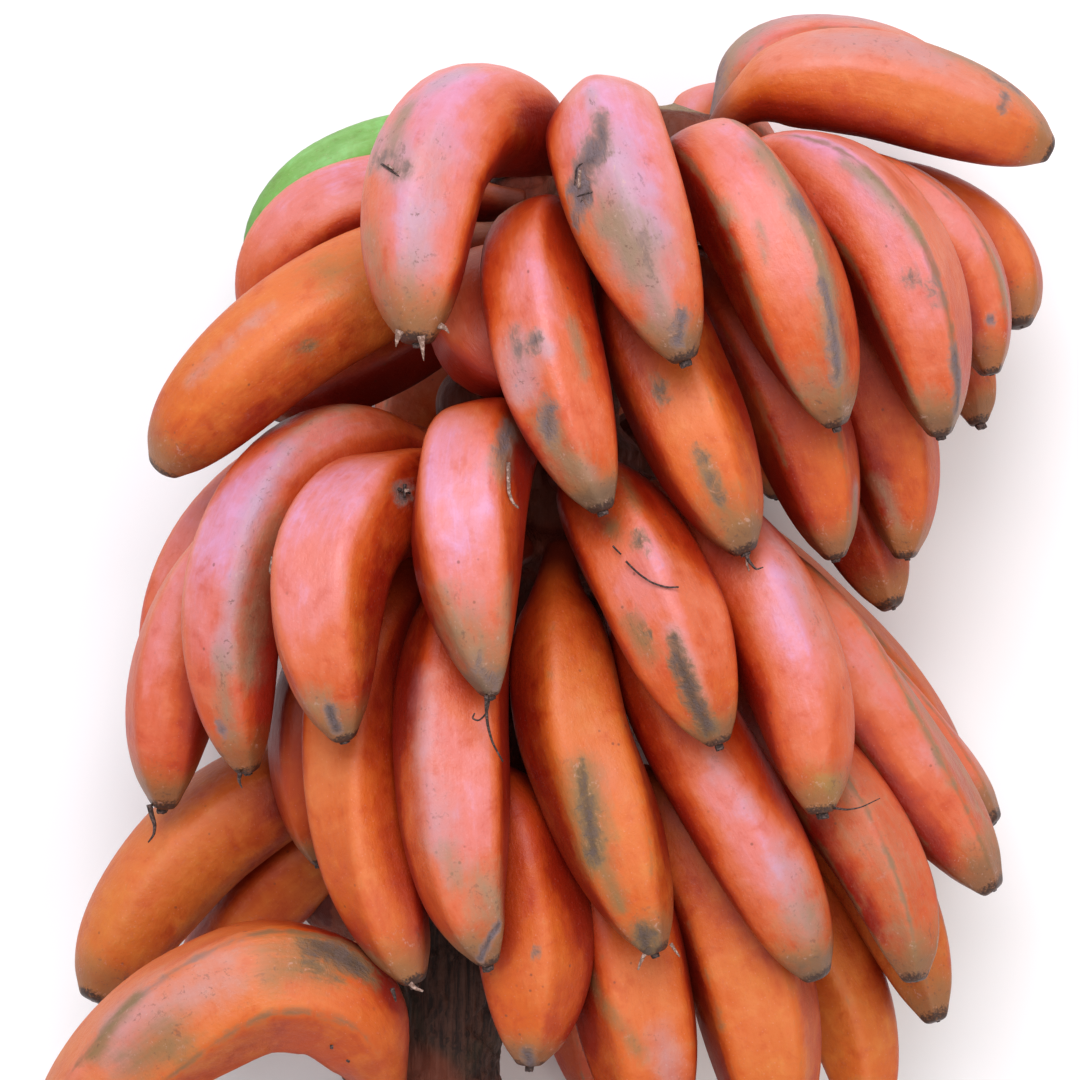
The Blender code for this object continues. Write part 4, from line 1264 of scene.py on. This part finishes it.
@dataclass
class Finger:
    """One banana, bent along its CAD node."""

    node: str
    slot: Peel
    number: int
    look: FingerLook
    belly: float = 0.040                      # how much its middle swells
    waves: tuple = (                          # height, waves round and along it, share of its seed
        (0.012, 3, 5, 1.0), (0.010, 2, -9, 2.3), (0.008, 1, 17, 3.1),
    )
    seed_step: float = 1.7
    twist_from: float = 0.65                  # share of the length that a twist leaves in place
    shoulder: tuple = (0.12, 0.42)            # shares between which the ridges rise
    neck_ridge: float = 0.25                  # share of a ridge that is left before them
    shade: float = 0.17                       # pink of the shaded side
    blush_and_light: tuple = ((0.31, 0.0, 0.65), (0.38, 0.50, 1.0))    # painted light over the bloom: pink added, and the light from which to which
    ridge_width: float = 11                   # half width of a rubbed ridge, in degrees
    rub_from: tuple = (0.12, 0.30)            # shares between which rubbed ridges, nose and dark base set in
    nose_skin: tuple = (0.84, 1.006)
    base_skin: tuple = (0.02, 0.20)
    pattern_step: tuple = (0.37, 0.53, 0.71)  # how far apart the patterns of two fingers are read
    shelter_grid: tuple = (15, 12)            # spots along it and round it at which its shelter is read
    sunk: float = 0.97                        # share of the radius at which a strand counts as on the skin
    spine: Spine = field(init=False)

    def __post_init__(self) -> None:
        """Read the node's middle line."""
        self.spine = Spine(self.node)

    @property
    def hand(self) -> str:
        """The number of the hand that it grows on."""
        return self.node.split("_")[1]

    def build(self, master: FingerMaster, shelter: Shelter) -> bpy.types.Object:
        """Copy the master, bend it along the node's middle line and store what its finish reads.

        Args:
            master: the modelled banana.
            shelter: what tells how deep a spot lies.

        Returns:
            The finger.
        """
        piece = own_copy(master.mesh, self.node + "_peel")
        straight = points_of(piece.data)
        t = straight[:, 2]
        levels, which = rings_in(t)
        centre, _, outer, across = (rows[which] for rows in self.spine.at(levels))
        angle = master.corner - np.arctan2(straight[:, 1], straight[:, 0])
        around = angle + np.radians(self.look.turn + self.look.twist * (t - self.twist_from))
        radius = self._radius(np.hypot(straight[:, 0], straight[:, 1]), t, angle)
        out, aside = radius * np.cos(around), radius * np.sin(around)
        set_points(piece.data, centre + out[:, None] * outer + aside[:, None] * across)
        skin = np.stack([out, aside, t * self.spine.length], axis=1)
        store(piece.data, "skin", skin + self.number * np.array(self.pattern_step))
        self._store_peel(piece.data, t, angle)
        self._store_wear(piece.data, t, around, radius)
        self._store_state(piece.data, t, around, shelter)
        piece.data.shade_smooth()
        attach(piece, BODY)
        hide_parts(self.node)
        return piece

    def spot(self, master: FingerMaster, share: float, turn: float, lift: float) -> np.ndarray:
        """A place on the finger.

        Args:
            master: the modelled banana, whose outline the finger has.
            share: share of the length.
            turn: degrees round the finger from its outer side.
            lift: millimetres off the skin, or off the middle line past the tip.

        Returns:
            The place.
        """
        centre, _, outer, across = (rows[0] for rows in self.spine.at(np.array([share])))
        slim = 1 - self.look.pinch * float(smooth_step(*NOSE, np.array(share)))
        skin = self.sunk * self.spine.girth * master.radius_at(share) * self.look.plump * slim
        reach = skin + lift * MM
        return centre + reach * (math.cos(math.radians(turn)) * outer + math.sin(math.radians(turn)) * across)

    def _radius(self, share: np.ndarray, t: np.ndarray, angle: np.ndarray) -> np.ndarray:
        """Radius at each point: the master's, with this finger's own ridges and slow unevenness.

        Args:
            share: the master's radius.
            t: share of the length.
            angle: direction round the finger, from a ridge.

        Returns:
            The radius in metres.
        """
        levels, which = rings_in(t)
        widest = np.zeros(len(levels))
        np.maximum.at(widest, which, share)
        full = widest[which]
        flat = 1 - share / np.maximum(full, 1e-9)
        seed = self.number * self.seed_step
        uneven = sum(height * np.sin(rounds * angle + runs * t + part * seed)
                     for height, rounds, runs, part in self.waves)
        body = np.sin(np.pi * np.clip(t, 0, 1))
        swell = (1 + self.belly * body) * self.look.plump * (1 - self.look.pinch * smooth_step(*NOSE, t))
        risen = self.neck_ridge + (1 - self.neck_ridge) * smooth_step(*self.shoulder, t)
        return self.spine.girth * full * (1 - flat * self.look.ridge * risen) * (swell + uneven * body)

    def _store_peel(self, mesh: bpy.types.Mesh, t: np.ndarray, angle: np.ndarray) -> None:
        """Store where the skin is pink, by painted light over its bloom, where its ridges are, and where its
        tip and base are.

        Args:
            mesh: the finger's mesh.
            t: share of the length.
            angle: direction round the finger, from a ridge.
        """
        # Painted light: pinker where the skin faces SKY, the painted fill lifts its shaded side, and the
        # shaded side keeps the painted shade colour.
        lit = normals_of(mesh) @ SKY
        bloom_and_light = self.shade + sum(pink * smooth_step(low, high, lit) for pink, low, high in self.blush_and_light)
        bloom_and_light += self.look.painted_fill * (1 - smooth_step(-0.2, 0.5, lit))
        bloom_and_light += (self.look.bloom_and_light - self.look.fade * smooth_step(0.45, 0.9, t)) * smooth_step(0.1, 0.8, lit)
        half = RIDGE_STEP / 2
        to_ridge = np.abs((np.degrees(angle) + half) % RIDGE_STEP - half)
        ridge = np.clip(1 - to_ridge / self.ridge_width, 0, 1) * smooth_step(*self.rub_from, t)
        tip = smooth_step(*self.nose_skin, t)
        base = 1 - smooth_step(*self.base_skin, t)
        store(mesh, "peel", np.stack([np.clip(bloom_and_light, 0, 1), ridge, tip, base], axis=1))

    def _store_wear(self, mesh: bpy.types.Mesh, t: np.ndarray, around: np.ndarray,
                    radius: np.ndarray) -> None:
        """Store the finger's marks, each kind in its own channel.

        Args:
            mesh: the finger's mesh.
            t: share of the length.
            around: direction round the finger, from its outer side.
            radius: radius in metres.
        """
        wear = np.zeros((len(t), len(Wear)))
        for mark in self.look.marks:
            channel = mark.wear.value
            drawn = self._stroke(mark, t * self.spine.length, around, radius)
            wear[:, channel] = np.maximum(wear[:, channel], drawn)
        store(mesh, "wear", wear)

    def _store_state(self, mesh: bpy.types.Mesh, t: np.ndarray, around: np.ndarray, shelter: Shelter) -> None:
        """Store how deep the skin lies in the bunch, which its finish paints as shade, and the finger's own
        rub, greyness and tone.

        Args:
            mesh: the finger's mesh.
            t: share of the length.
            around: direction round the finger, from its outer side.
            shelter: what tells how deep a spot lies.
        """
        rows, sectors = self.shelter_grid
        levels = np.linspace(0.0, 1.0, rows)
        centre, _, outer, across = self.spine.at(levels)
        turns = np.arange(sectors) * 2 * math.pi / sectors
        out = np.cos(turns)[None, :, None] * outer[:, None] + np.sin(turns)[None, :, None] * across[:, None]
        profile = np.interp(levels, *zip(*FingerMaster.profile)) * self.spine.girth
        spots = centre[:, None] + out * profile[:, None, None]
        grid = shelter.at(spots.reshape(-1, 3), out.reshape(-1, 3)).reshape(rows, sectors)
        row = np.clip(t, 0, 1) * (rows - 1)
        column = (around / (2 * math.pi) * sectors) % sectors
        low_row, low_column = np.minimum(row.astype(int), rows - 2), column.astype(int) % sectors
        down, aside = row - low_row, column - np.floor(column)
        next_column = (low_column + 1) % sectors
        above = grid[low_row, low_column] * (1 - aside) + grid[low_row, next_column] * aside
        below = grid[low_row + 1, low_column] * (1 - aside) + grid[low_row + 1, next_column] * aside
        hidden = above * (1 - down) + below * down
        own = np.array([[self.look.rubbed, self.look.dusk, self.look.tone]])
        store(mesh, "state", np.hstack([hidden[:, None], np.repeat(own, len(t), axis=0)]))

    def _stroke(self, mark: Mark, run: np.ndarray, around: np.ndarray, radius: np.ndarray) -> np.ndarray:
        """How strongly a mark shows at each vertex, falling off evenly to twice its half width.

        Args:
            mark: the mark.
            run: distance along the finger, in metres.
            around: direction round the finger.
            radius: radius at each vertex.

        Returns:
            Strengths from 0 to 1.
        """
        length, girth = self.spine.length, self.spine.girth
        first = np.array([mark.share * length, math.radians(mark.turn) * girth])
        last = np.array([mark.end_share * length, math.radians(mark.end_turn) * girth])
        way = last - first
        middle = (mark.turn + mark.end_turn) / 2
        near = (np.degrees(around) - middle + 180) % 360 - 180 + middle
        spots = np.stack([run, np.radians(near) * girth], axis=1)
        step = np.clip((spots - first) @ way / max(float(way @ way), 1e-12), 0, 1)
        gap = spots - first - step[:, None] * way
        gap[:, 1] *= radius / girth
        distance = np.linalg.norm(gap, axis=1)
        return np.clip(1 - distance / (2 * mark.width * MM), 0, 1) * mark.strength


# ---------------------------------------------------------------------------------------------- dried bits


@dataclass(frozen=True)
class Strand:
    """A dried thread, hook or scale: it starts on a finger and may trail off it."""

    node: str
    skin: tuple            # places on the finger: share, degrees round it, millimetres off the skin
    trail: tuple = ()      # millimetres from the last of them, in the bunch's frame
    thick: float = 0.5     # half thickness at its start, in millimetres
    taper: float = 0.5     # share of that at its end
    flat: float = 1.0      # thickness for each unit of width
    straw: bool = False    # pale and not dark


STRANDS = (
    Strand("hand_2_finger_04", ((0.61, -60, 0.1), (0.62, -39, 0.3), (0.63, -21, 0)), flat=0.5),
    Strand("hand_2_finger_04", ((0.63, -33, 0.1), (0.65, -60, 0.1)), thick=0.6, taper=0.4, flat=0.5),
    Strand("hand_2_finger_04", ((0.60, -38, 0.1), (0.57, -29, 0.2), (0.57, -21, 0)), thick=0.45, flat=0.5),
    Strand("hand_2_finger_04", ((0.61, -33, 0), (0.58, -26, 0.1)), thick=1.1, taper=0.6, flat=0.25,
           straw=True),
    Strand("hand_2_finger_03",
           ((0.67, -3, 0.1), (0.68, 6, 0.2), (0.69, 15, 0.2), (0.70, 24, 0.2), (0.71, 33, 0)), thick=0.6,
           flat=0.5),
    Strand("hand_2_finger_03", ((0.675, 6, 0.2), (0.685, 15, 0.2)), thick=0.6, taper=0.6, flat=0.4,
           straw=True),
    Strand("hand_2_finger_03", ((0.69, 19, 0.2), (0.695, 27, 0.2)), taper=0.6, flat=0.4, straw=True),
    Strand("hand_2_finger_03", ((0.985, 0, 0),), ((-1.0, -3, 0), (-1.5, -6, 0)), 1.8, 0.1, 0.6, True),
    Strand("hand_2_finger_03", ((1.0, 60, 2),), ((0.5, -4, 0), (1.0, -9, 0)), 1.6, 0.1, 0.6, True),
    Strand("hand_2_finger_03", ((0.975, 110, 0),), ((2.5, -1, 0), (4.0, -3, 0)), 1.6, 0.1, 0.6, True),
    Strand("hand_2_finger_12", ((1.01, 0, 1),), ((1.5, -3, 0), (4.0, -6, 1), (6.5, -5, 2)), 0.8, 0.3),
    Strand("hand_2_finger_12", ((1.01, 90, 1),), ((-0.5, -4, 0), (0.5, -7, -1)), 0.8, 0.3, straw=True),
    Strand("hand_3_finger_02", ((1.0, 0, 0),), ((0.8, -4, 0), (2.2, -8, 0), (1.8, -12, 0), (-0.5, -15, 0)),
           1.3, 0.25),
    Strand("hand_3_finger_03", ((1.0, 30, 0),), ((-0.5, -3, 0), (0.8, -6, 0)), 1.1, 0.2),
    Strand("hand_3_finger_04", ((0.62, -62, 0.3), (0.65, -64, 0.8)), ((3, 2, 1),), 1.2, 0.3, 0.5, True),
    Strand("hand_3_finger_04", ((0.436, 66, 0.2), (0.454, 76, 0.2)), thick=0.8, taper=0.6, flat=0.6),
    Strand("hand_3_finger_04", ((0.454, 66, 0.2), (0.436, 76, 0.2)), thick=0.8, taper=0.6, flat=0.6),
    Strand("hand_3_finger_04", ((0.445, 71, 0.2), (0.442, 73, 1.6)), thick=1.0, flat=0.7, straw=True),
    Strand("hand_3_finger_05", ((1.0, 0, 0),), ((0, -5, 0), (0.4, -11, -2), (2.2, -18, -5), (6, -25, -8)),
           0.75, 0.45),
    Strand("hand_3_finger_05", ((1.01, 0, 0),), ((-1, -6, 1), (-4, -9, 1), (-6.5, -8, 1), (-5.5, -6, 1)),
           0.45, 0.7),
    Strand("hand_3_finger_05", ((0.49, 60, 0), (0.55, 62, 0.8)), ((1.5, -4, 0), (3.6, -6, -1)), 0.9,
           flat=0.4, straw=True),
    Strand("hand_3_finger_06",
           ((0.51, -30, 1.4), (0.55, -25, 1.7), (0.585, -18, 1.9), (0.61, -8, 2.1), (0.62, 2, 2.6)),
           thick=0.40, taper=0.9),
    Strand("hand_3_finger_06", ((0.465, -34, 1.2), (0.475, -33, 1.3), (0.49, -31, 1.2)), thick=0.4,
           taper=0.8),
    Strand("hand_3_finger_07", ((1.0, 0, 0),), ((5, -0.5, 2), (10, 0.5, 3), (17, 4, 4)), taper=0.4),
    Strand("hand_3_finger_07", ((1.0, 60, 0),), ((-3, -1.5, 0), (-6, -1.0, 0)), 0.45),
    Strand("hand_3_finger_13", ((1.0, 0, 1),), ((-1.5, -3, 0), (-2.5, -6, 0)), 0.9, 0.4, 0.5, True),
    Strand("hand_3_finger_13", ((1.0, 120, 2),), ((2, -3, 0), (3.5, -5, 0)), 0.8, 0.4, 0.5, True),
    Strand("hand_3_finger_11", ((1.0, 60, 2),), ((2, -2, 0), (5, -3, 0)), 1.1, 0.4, 0.5, True),
    Strand("hand_3_finger_11", ((1.0, 0, 3),), ((1, -3, 0), (1.5, -5, 0)), 1.0, 0.3),
    Strand("hand_5_finger_01", ((0.277, 112, 0), (0.283, 114, 0.1)), thick=1.0, taper=0.8, flat=0.4),
    Strand("hand_5_finger_01", ((0.222, 110, 0), (0.228, 112, 0.1)), thick=1.0, taper=0.8, flat=0.4),
    Strand("hand_5_finger_01", ((0.487, 93, 0), (0.493, 95, 0.1)), thick=0.8, taper=0.8, flat=0.4),
)


@dataclass
class FlowerEnds:
    """What is left of the flowers on the fingers of one hand: a dried star on each tip, threads and hooks."""

    hand: str
    radius: float = 2.2           # of a star, in millimetres
    height: float = 1.9
    sides: int = 10
    cup: tuple = (0.6, 0.1)       # depth and middle of the cup, in units of its height
    rim: tuple = (0.35, 0.80)     # rise and width of its rim
    wall: float = 0.26
    hollow: float = -0.30
    points: tuple = (0.55, 1.30)  # rise and spread of every second corner of the rim
    seat: float = 1.007           # share of the finger's length at which the star sits
    lean: float = 0.25            # how far a star leans at most, for each unit of its height
    vary: tuple = (0.18, 0.35)    # by how much width and height of the stars vary
    strand_sides: int = 6

    def build(self, fingers: list, master: FingerMaster) -> bpy.types.Object:
        """Set a star on each tip, lay the strands and join them.

        Args:
            fingers: the hand's fingers.
            master: the modelled banana.

        Returns:
            The joined piece.
        """
        star = self._star()
        bits = [self._set_star(star, finger) for finger in fingers]
        bpy.data.objects.remove(star, do_unlink=True)
        finishes = {False: WITHERED.material(), True: STRAW.material()}
        for bit in bits:
            bit.data.materials.append(finishes[False])
        named = {finger.node: finger for finger in fingers}
        for strand in (strand for strand in STRANDS if strand.node in named):
            bits.append(self._lay(strand, named[strand.node], master))
            bits[-1].data.materials.append(finishes[strand.straw])
        whole = join(bits, f"hand_{self.hand}_flower_ends")
        whole.data.shade_smooth()
        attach(whole, BODY)
        return whole

    def _star(self) -> bpy.types.Object:
        """Model the dried star: a short cup whose rim stands up in points.

        Returns:
            The star, upright at the origin.
        """
        deselect_all()
        bpy.ops.mesh.primitive_cylinder_add(vertices=self.sides, radius=1.0, depth=self.cup[0],
                                            location=(0, 0, self.cup[1]))
        star = bpy.context.object
        star.data.transform(star.matrix_world)
        star.location = (0, 0, 0)
        self._pick_top(star)
        raise_ring(*self.rim)
        bpy.ops.mesh.inset(thickness=self.wall)
        bpy.ops.transform.translate(value=(0, 0, self.hollow))
        bpy.ops.object.mode_set(mode="OBJECT")
        places = points_of(star.data)
        rim = np.flatnonzero(places[:, 2] > places[:, 2].max() - TINY)
        turns = np.argsort(np.arctan2(places[rim, 1], places[rim, 0]))
        picked = rim[turns[::2]]
        deselect_all()
        for vertex in star.data.vertices:
            vertex.select = vertex.index in picked
        take_up(star)
        rise, spread = self.points
        bpy.ops.object.mode_set(mode="EDIT")
        bpy.ops.transform.resize(value=(spread, spread, 1))
        bpy.ops.transform.translate(value=(0, 0, rise))
        bpy.ops.object.mode_set(mode="OBJECT")
        apply_modifier(star, "SUBSURF", levels=1, render_levels=1)
        return star

    @staticmethod
    def _pick_top(piece: bpy.types.Object) -> None:
        """Enter edit mode with only the top face selected.

        Args:
            piece: the upright piece.
        """
        take_up(piece)
        bpy.ops.object.mode_set(mode="EDIT")
        bpy.ops.mesh.select_mode(type="FACE")
        bpy.ops.mesh.select_all(action="DESELECT")
        bpy.ops.object.mode_set(mode="OBJECT")
        for face in piece.data.polygons:
            face.select = face.normal.z > 0.9
        bpy.ops.object.mode_set(mode="EDIT")

    def _set_star(self, star: bpy.types.Object, finger: Finger) -> bpy.types.Object:
        """Copy the star to a finger's tip, where its turn, size and lean vary with the finger's number.

        Args:
            star: the upright star.
            finger: the finger.

        Returns:
            The placed copy.
        """
        bit = own_copy(star, "star")
        wave = math.sin(3.7 * finger.number)
        turn = 0.9 * finger.number
        wide = self.radius * MM * (1 + self.vary[0] * wave) * finger.look.star
        high = self.height * MM * (1 + self.vary[1] * math.sin(5.1 * finger.number)) * finger.look.star
        centre, along, outer, across = (rows[0] for rows in finger.spine.at(np.array([self.seat])))
        places = points_of(bit.data)
        x = places[:, 0] * math.cos(turn) - places[:, 1] * math.sin(turn)
        y = places[:, 0] * math.sin(turn) + places[:, 1] * math.cos(turn)
        lean = self.lean * wave * np.clip(places[:, 2], 0, 2)
        placed = centre + wide * ((x + lean)[:, None] * outer + y[:, None] * across)
        set_points(bit.data, placed + high * places[:, 2:] * along)
        bit.data.flip_normals()
        return bit

    def _lay(self, strand: Strand, finger: Finger, master: FingerMaster) -> bpy.types.Object:
        """Draw a strand as a tapered tube along its smoothed route.

        Args:
            strand: the strand.
            finger: the finger that it starts on.
            master: the modelled banana.

        Returns:
            The strand.
        """
        route = [finger.spot(master, *spot) for spot in strand.skin]
        last = route[-1]
        route += [last + np.array(offset) * MM for offset in strand.trail]
        knots = np.array(route)
        at = np.linspace(0, len(knots) - 1, 3 * len(knots) + 1)
        path = np.stack([np.interp(at, np.arange(len(knots)), knots[:, axis]) for axis in range(3)], axis=1)
        path[1:-1] = (path[:-2] + 2 * path[1:-1] + path[2:]) / 4
        widths = strand.thick * MM * np.linspace(1, strand.taper, len(path))
        return tube_along(path, widths, self.strand_sides, strand.flat)


# ---------------------------------------------------------------------------------------------- stalk


@dataclass
class Stalk:
    """The stem with its crowns, and a neck to the base of every finger, as one grown mesh. Places and
    thicknesses along the stem are in metres."""

    voxel: float = 2.2                            # millimetres
    smoothing: int = 9
    neck_sides: int = 10
    neck_end: float = 0.055                       # share of the finger that its neck holds
    neck_root: float = 0.45                       # where it starts, from the stem's middle to the finger
    neck_widths: tuple = (0.66, 0.48, 0.355, 0.325)
    web_reach: float = 0.070                      # necks closer than this share a web
    web_span: tuple = (0.35, 0.93)
    web_widths: tuple = (0.66, 0.52, 0.34)
    lumps: tuple = (                              # swollen flesh of the crowns, in millimetres
        (-8, 196, 78, 21), (40, 96, 80, 19), (20, 36, 82, 19), (-30, 115, 80, 18), (-84, -86, 62, 24),
    )
    cords: tuple = ((0.0007, 11, 9), (0.0005, 19, -23))     # height, cords round it, turns along it
    cords_end: tuple = (0.029, 0.036)             # distance from the stem's middle where they fade
    thick_cut: tuple = (0.0016, 0.0036)           # depth of the dry rim of the two cut ends
    thin_cut: tuple = (0.0075, 0.0035)
    crown_reach: tuple = (0.026, 0.044)           # distance from a finger's start where its crown ends
    neck_reach: tuple = (0.010, 0.026)
    depth_block: float = 0.012
    ring_points: int = 16                         # how many of the node's points tell its middle
    level_points: int = 24                        # the same where a neck starts

    def build(self, fingers: list, shelter: Shelter) -> bpy.types.Object:
        """Grow the necks and the webs between them out of a copy of the stalk's CAD node and fuse them.

        Args:
            fingers: the bunch's fingers.
            shelter: what tells how deep a spot lies.

        Returns:
            The stalk.
        """
        core = own_copy(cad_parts["stalk"], "core")
        take_up(core)
        edit_whole()
        bpy.ops.mesh.remove_doubles(threshold=TINY)
        face_outwards()
        places = points_of(core.data)
        grown = [core] + [self._neck(finger.spine, places) for finger in fingers]
        grown += self._webs(fingers, places) + [self._lump(*lump) for lump in self.lumps]
        stalk = join(grown, "stalk_grown")
        apply_modifier(stalk, "REMESH", mode="VOXEL", voxel_size=self.voxel * MM)
        apply_modifier(stalk, "SMOOTH", factor=0.5, iterations=self.smoothing)
        self._shape(stalk, fingers, shelter)
        stalk.data.shade_smooth()
        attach(stalk, BODY)
        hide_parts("stalk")
        return stalk

    def _root(self, start: np.ndarray, core: np.ndarray, share: float) -> np.ndarray:
        """A place between the stem's middle and the start of a finger, at the finger's level.

        Args:
            start: where the finger starts.
            core: the stalk's points.
            share: how far out it lies.

        Returns:
            The place.
        """
        level = core[np.argsort(np.abs(core[:, 1] - start[1]))[:self.level_points]]
        heart = np.array([level[:, 0].mean(), start[1], level[:, 2].mean()])
        return heart + (start - heart) * share

    def _neck(self, spine: Spine, core: np.ndarray) -> bpy.types.Object:
        """A collar from inside the crown to just past the start of a finger.

        Args:
            spine: the finger's middle line.
            core: the stalk's points.

        Returns:
            The neck, a closed flared tube.
        """
        start, past = spine.at(np.array([0.0, self.neck_end]))[0]
        root = self._root(start, core, self.neck_root)
        path = np.array([root, (root + start) / 2, start, past])
        return tube_along(path, spine.girth * np.array(self.neck_widths), self.neck_sides)

    def _webs(self, fingers: list, core: np.ndarray) -> list:
        """The crown's flesh between the necks of neighbouring fingers of a hand.

        Args:
            fingers: the bunch's fingers.
            core: the stalk's points.

        Returns:
            The webs, closed tubes that end short of the fingers.
        """
        webs = []
        for one, other in itertools.combinations(fingers, 2):
            a, b = one.spine.centres[0], other.spine.centres[0]
            if one.hand == other.hand and np.linalg.norm(a - b) < self.web_reach:
                root, end = (self._root((a + b) / 2, core, share) for share in self.web_span)
                path = np.array([root, (root + end) / 2, end])
                webs.append(tube_along(path, one.spine.girth * np.array(self.web_widths), self.neck_sides))
        return webs

    @staticmethod
    def _lump(x: float, y: float, z: float, radius: float) -> bpy.types.Object:
        """A rounded swelling of a crown.

        Args:
            x: its place in millimetres.
            y: the same, up the bunch.
            z: the same, off the floor.
            radius: its radius in millimetres.

        Returns:
            The swelling, with its origin at the bunch's.
        """
        deselect_all()
        bpy.ops.mesh.primitive_ico_sphere_add(subdivisions=3, radius=radius * MM)
        lump = bpy.context.object
        set_points(lump.data, points_of(lump.data) + np.array([x, y, z]) * MM)
        return lump

    def _shape(self, stalk: bpy.types.Object, fingers: list, shelter: Shelter) -> None:
        """Add the stem's long cords, and store where crown, neck and cut ends are, and the depths that its
        finish paints as shade.

        Args:
            stalk: the fused mesh.
            fingers: the bunch's fingers.
            shelter: what tells how deep a spot lies.
        """
        mesh = stalk.data
        places = points_of(mesh)
        low, high = (corner[1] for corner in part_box("stalk"))
        run = places[:, 1]
        out = places - self._middle_at(run, low, high)
        reach = np.linalg.norm(out, axis=1)
        angle = np.arctan2(out[:, 0], out[:, 2])
        thick_end = 1 - smooth_step(*(low + depth for depth in self.thick_cut), run)
        ends = np.maximum(thick_end, smooth_step(*(high - depth for depth in self.thin_cut), run))
        cords = sum(height * np.sin(rounds * angle + turns * run) for height, rounds, turns in self.cords)
        cords *= (1 - smooth_step(*self.cords_end, reach)) * (1 - ends)
        places += out / (reach[:, None] + 1e-9) * cords[:, None]
        set_points(mesh, places)
        hearts = [(finger.spine.centres[0], 0.0) for finger in fingers]
        hearts += [(np.array(lump[:3]) * MM, lump[3] * MM) for lump in self.lumps]
        away = np.min([np.linalg.norm(places - heart, axis=1) - size for heart, size in hearts], axis=0)
        crown, neck = (1 - smooth_step(*limits, away) for limits in (self.crown_reach, self.neck_reach))
        depth = self._depths(places, normals_of(mesh), shelter)
        store(mesh, "growth", np.stack([crown, ends, neck, depth], axis=1))

    def _middle_at(self, run: np.ndarray, low: float, high: float) -> np.ndarray:
        """The middle of the stem's CAD node at places along it.

        Args:
            run: the places.
            low: the node's thick end.
            high: its thin end.

        Returns:
            The middle's points, as rows.
        """
        node = points_of(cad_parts["stalk"].data)
        levels = np.linspace(low, high, 60)
        nearest = [np.argsort(np.abs(node[:, 1] - level))[:self.ring_points] for level in levels]
        x, _, z = np.array([node[ring].mean(axis=0) for ring in nearest]).T
        return np.stack([np.interp(run, levels, x), run, np.interp(run, levels, z)], axis=1)

    def _depths(self, places: np.ndarray, normals: np.ndarray, shelter: Shelter) -> np.ndarray:
        """How deep each point lies, read at one point in each small block.

        Args:
            places: the points.
            normals: their normals.
            shelter: what tells how deep a spot lies.

        Returns:
            The depth at each point.
        """
        blocks = np.round(places / self.depth_block).astype(int)
        _, first, which = np.unique(blocks, axis=0, return_index=True, return_inverse=True)
        return shelter.at(places[first], normals[first])[which.ravel()]


# ---------------------------------------------------------------------------------------------- studio


@dataclass(frozen=True)
class Lamp:
    """A large soft square light that faces the bunch."""

    name: str
    place: tuple
    size: float
    power: float           # watts
    colour: tuple

    def build(self) -> None:
        """Hang the light."""
        data = bpy.data.lights.new(self.name, "AREA")
        data.size = self.size
        data.energy = self.power
        data.color = self.colour
        lamp = bpy.data.objects.new(self.name, data)
        lamp.location = self.place
        lamp.rotation_mode = "QUATERNION"
        lamp.rotation_quaternion = (-Vector(self.place)).to_track_quat("-Z", "Y")
        bpy.context.scene.collection.objects.link(lamp)


@dataclass
class Studio:
    """Pale floor, soft lights, and the camera straight above the bunch."""

    lamps: tuple = (
        Lamp("sky", (-0.15, 1.0, 1.8), 1.2, 31.5, (0.97, 0.94, 1.0)),
        Lamp("front", (0.9, -0.9, 1.9), 1.6, 12, (1.0, 0.90, 0.80)),
    )
    camera_at: tuple = (-0.0041, 0.0591, 1.264)
    lens: float = 95.24           # millimetres, as is the sensor
    sensor: float = 36
    air: float = 0.65
    air_colour: tuple = (0.95, 0.97, 1.0, 1)
    floor_size: float = 8

    def build(self) -> None:
        """Place floor, lights and camera."""
        deselect_all()
        bpy.ops.mesh.primitive_plane_add(size=self.floor_size, location=(0, 0, 0))
        floor = bpy.context.object
        floor.name = "studio_floor"
        floor.data.materials.append(FloorFinish().material())
        for lamp in self.lamps:
            lamp.build()
        world = bpy.data.worlds.new("studio")
        world.use_nodes = True
        world.node_tree.nodes["Background"].inputs["Color"].default_value = self.air_colour
        world.node_tree.nodes["Background"].inputs["Strength"].default_value = self.air
        scene = bpy.context.scene
        scene.world = world
        scene.view_settings.view_transform = "Standard"
        data = bpy.data.cameras.new("camera")
        data.lens = self.lens
        data.sensor_width = self.sensor
        camera = bpy.data.objects.new("camera", data)
        camera.location = self.camera_at
        scene.collection.objects.link(camera)
        scene.camera = camera


# ---------------------------------------------------------------------------------------------- bunch


def slot_of(node: str) -> Peel:
    """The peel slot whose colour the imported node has.

    Args:
        node: a CAD node's name.

    Returns:
        Its slot.
    """
    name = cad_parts[node].data.materials[0].name.lower()
    return next((peel for peel in Peel if peel.value.split("_")[1] in name), Peel.PINK)


def dress(piece: bpy.types.Object, finish: bpy.types.Material) -> None:
    """Give a piece one finish."""
    piece.data.materials.clear()
    piece.data.materials.append(finish)


def report(piece: bpy.types.Object) -> None:
    """Log a finished piece."""
    LOG.info("%s: %d faces", piece.name, len(piece.data.polygons))


def main() -> None:
    """Build the bunch and the studio, and report each piece."""
    logging.basicConfig(level=logging.INFO, format="%(message)s")
    Studio().build()
    master = FingerMaster()
    master.build()
    shelter = Shelter()
    finishes = {peel: PEELS[peel].material() for peel in Peel}
    nodes = sorted(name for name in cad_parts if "finger" in name)
    fingers = [Finger(node, slot_of(node), k, look_of(node, k)) for k, node in enumerate(nodes)]
    for finger in fingers:
        piece = finger.build(master, shelter)
        dress(piece, finishes[finger.slot])
        report(piece)
    for hand, own in itertools.groupby(fingers, key=lambda finger: finger.hand):
        report(FlowerEnds(hand).build(list(own), master))
    bpy.data.objects.remove(master.mesh, do_unlink=True)
    stalk = Stalk().build(fingers, shelter)
    dress(stalk, StalkFinish().material())
    report(stalk)


if __name__ == "__main__":
    main()
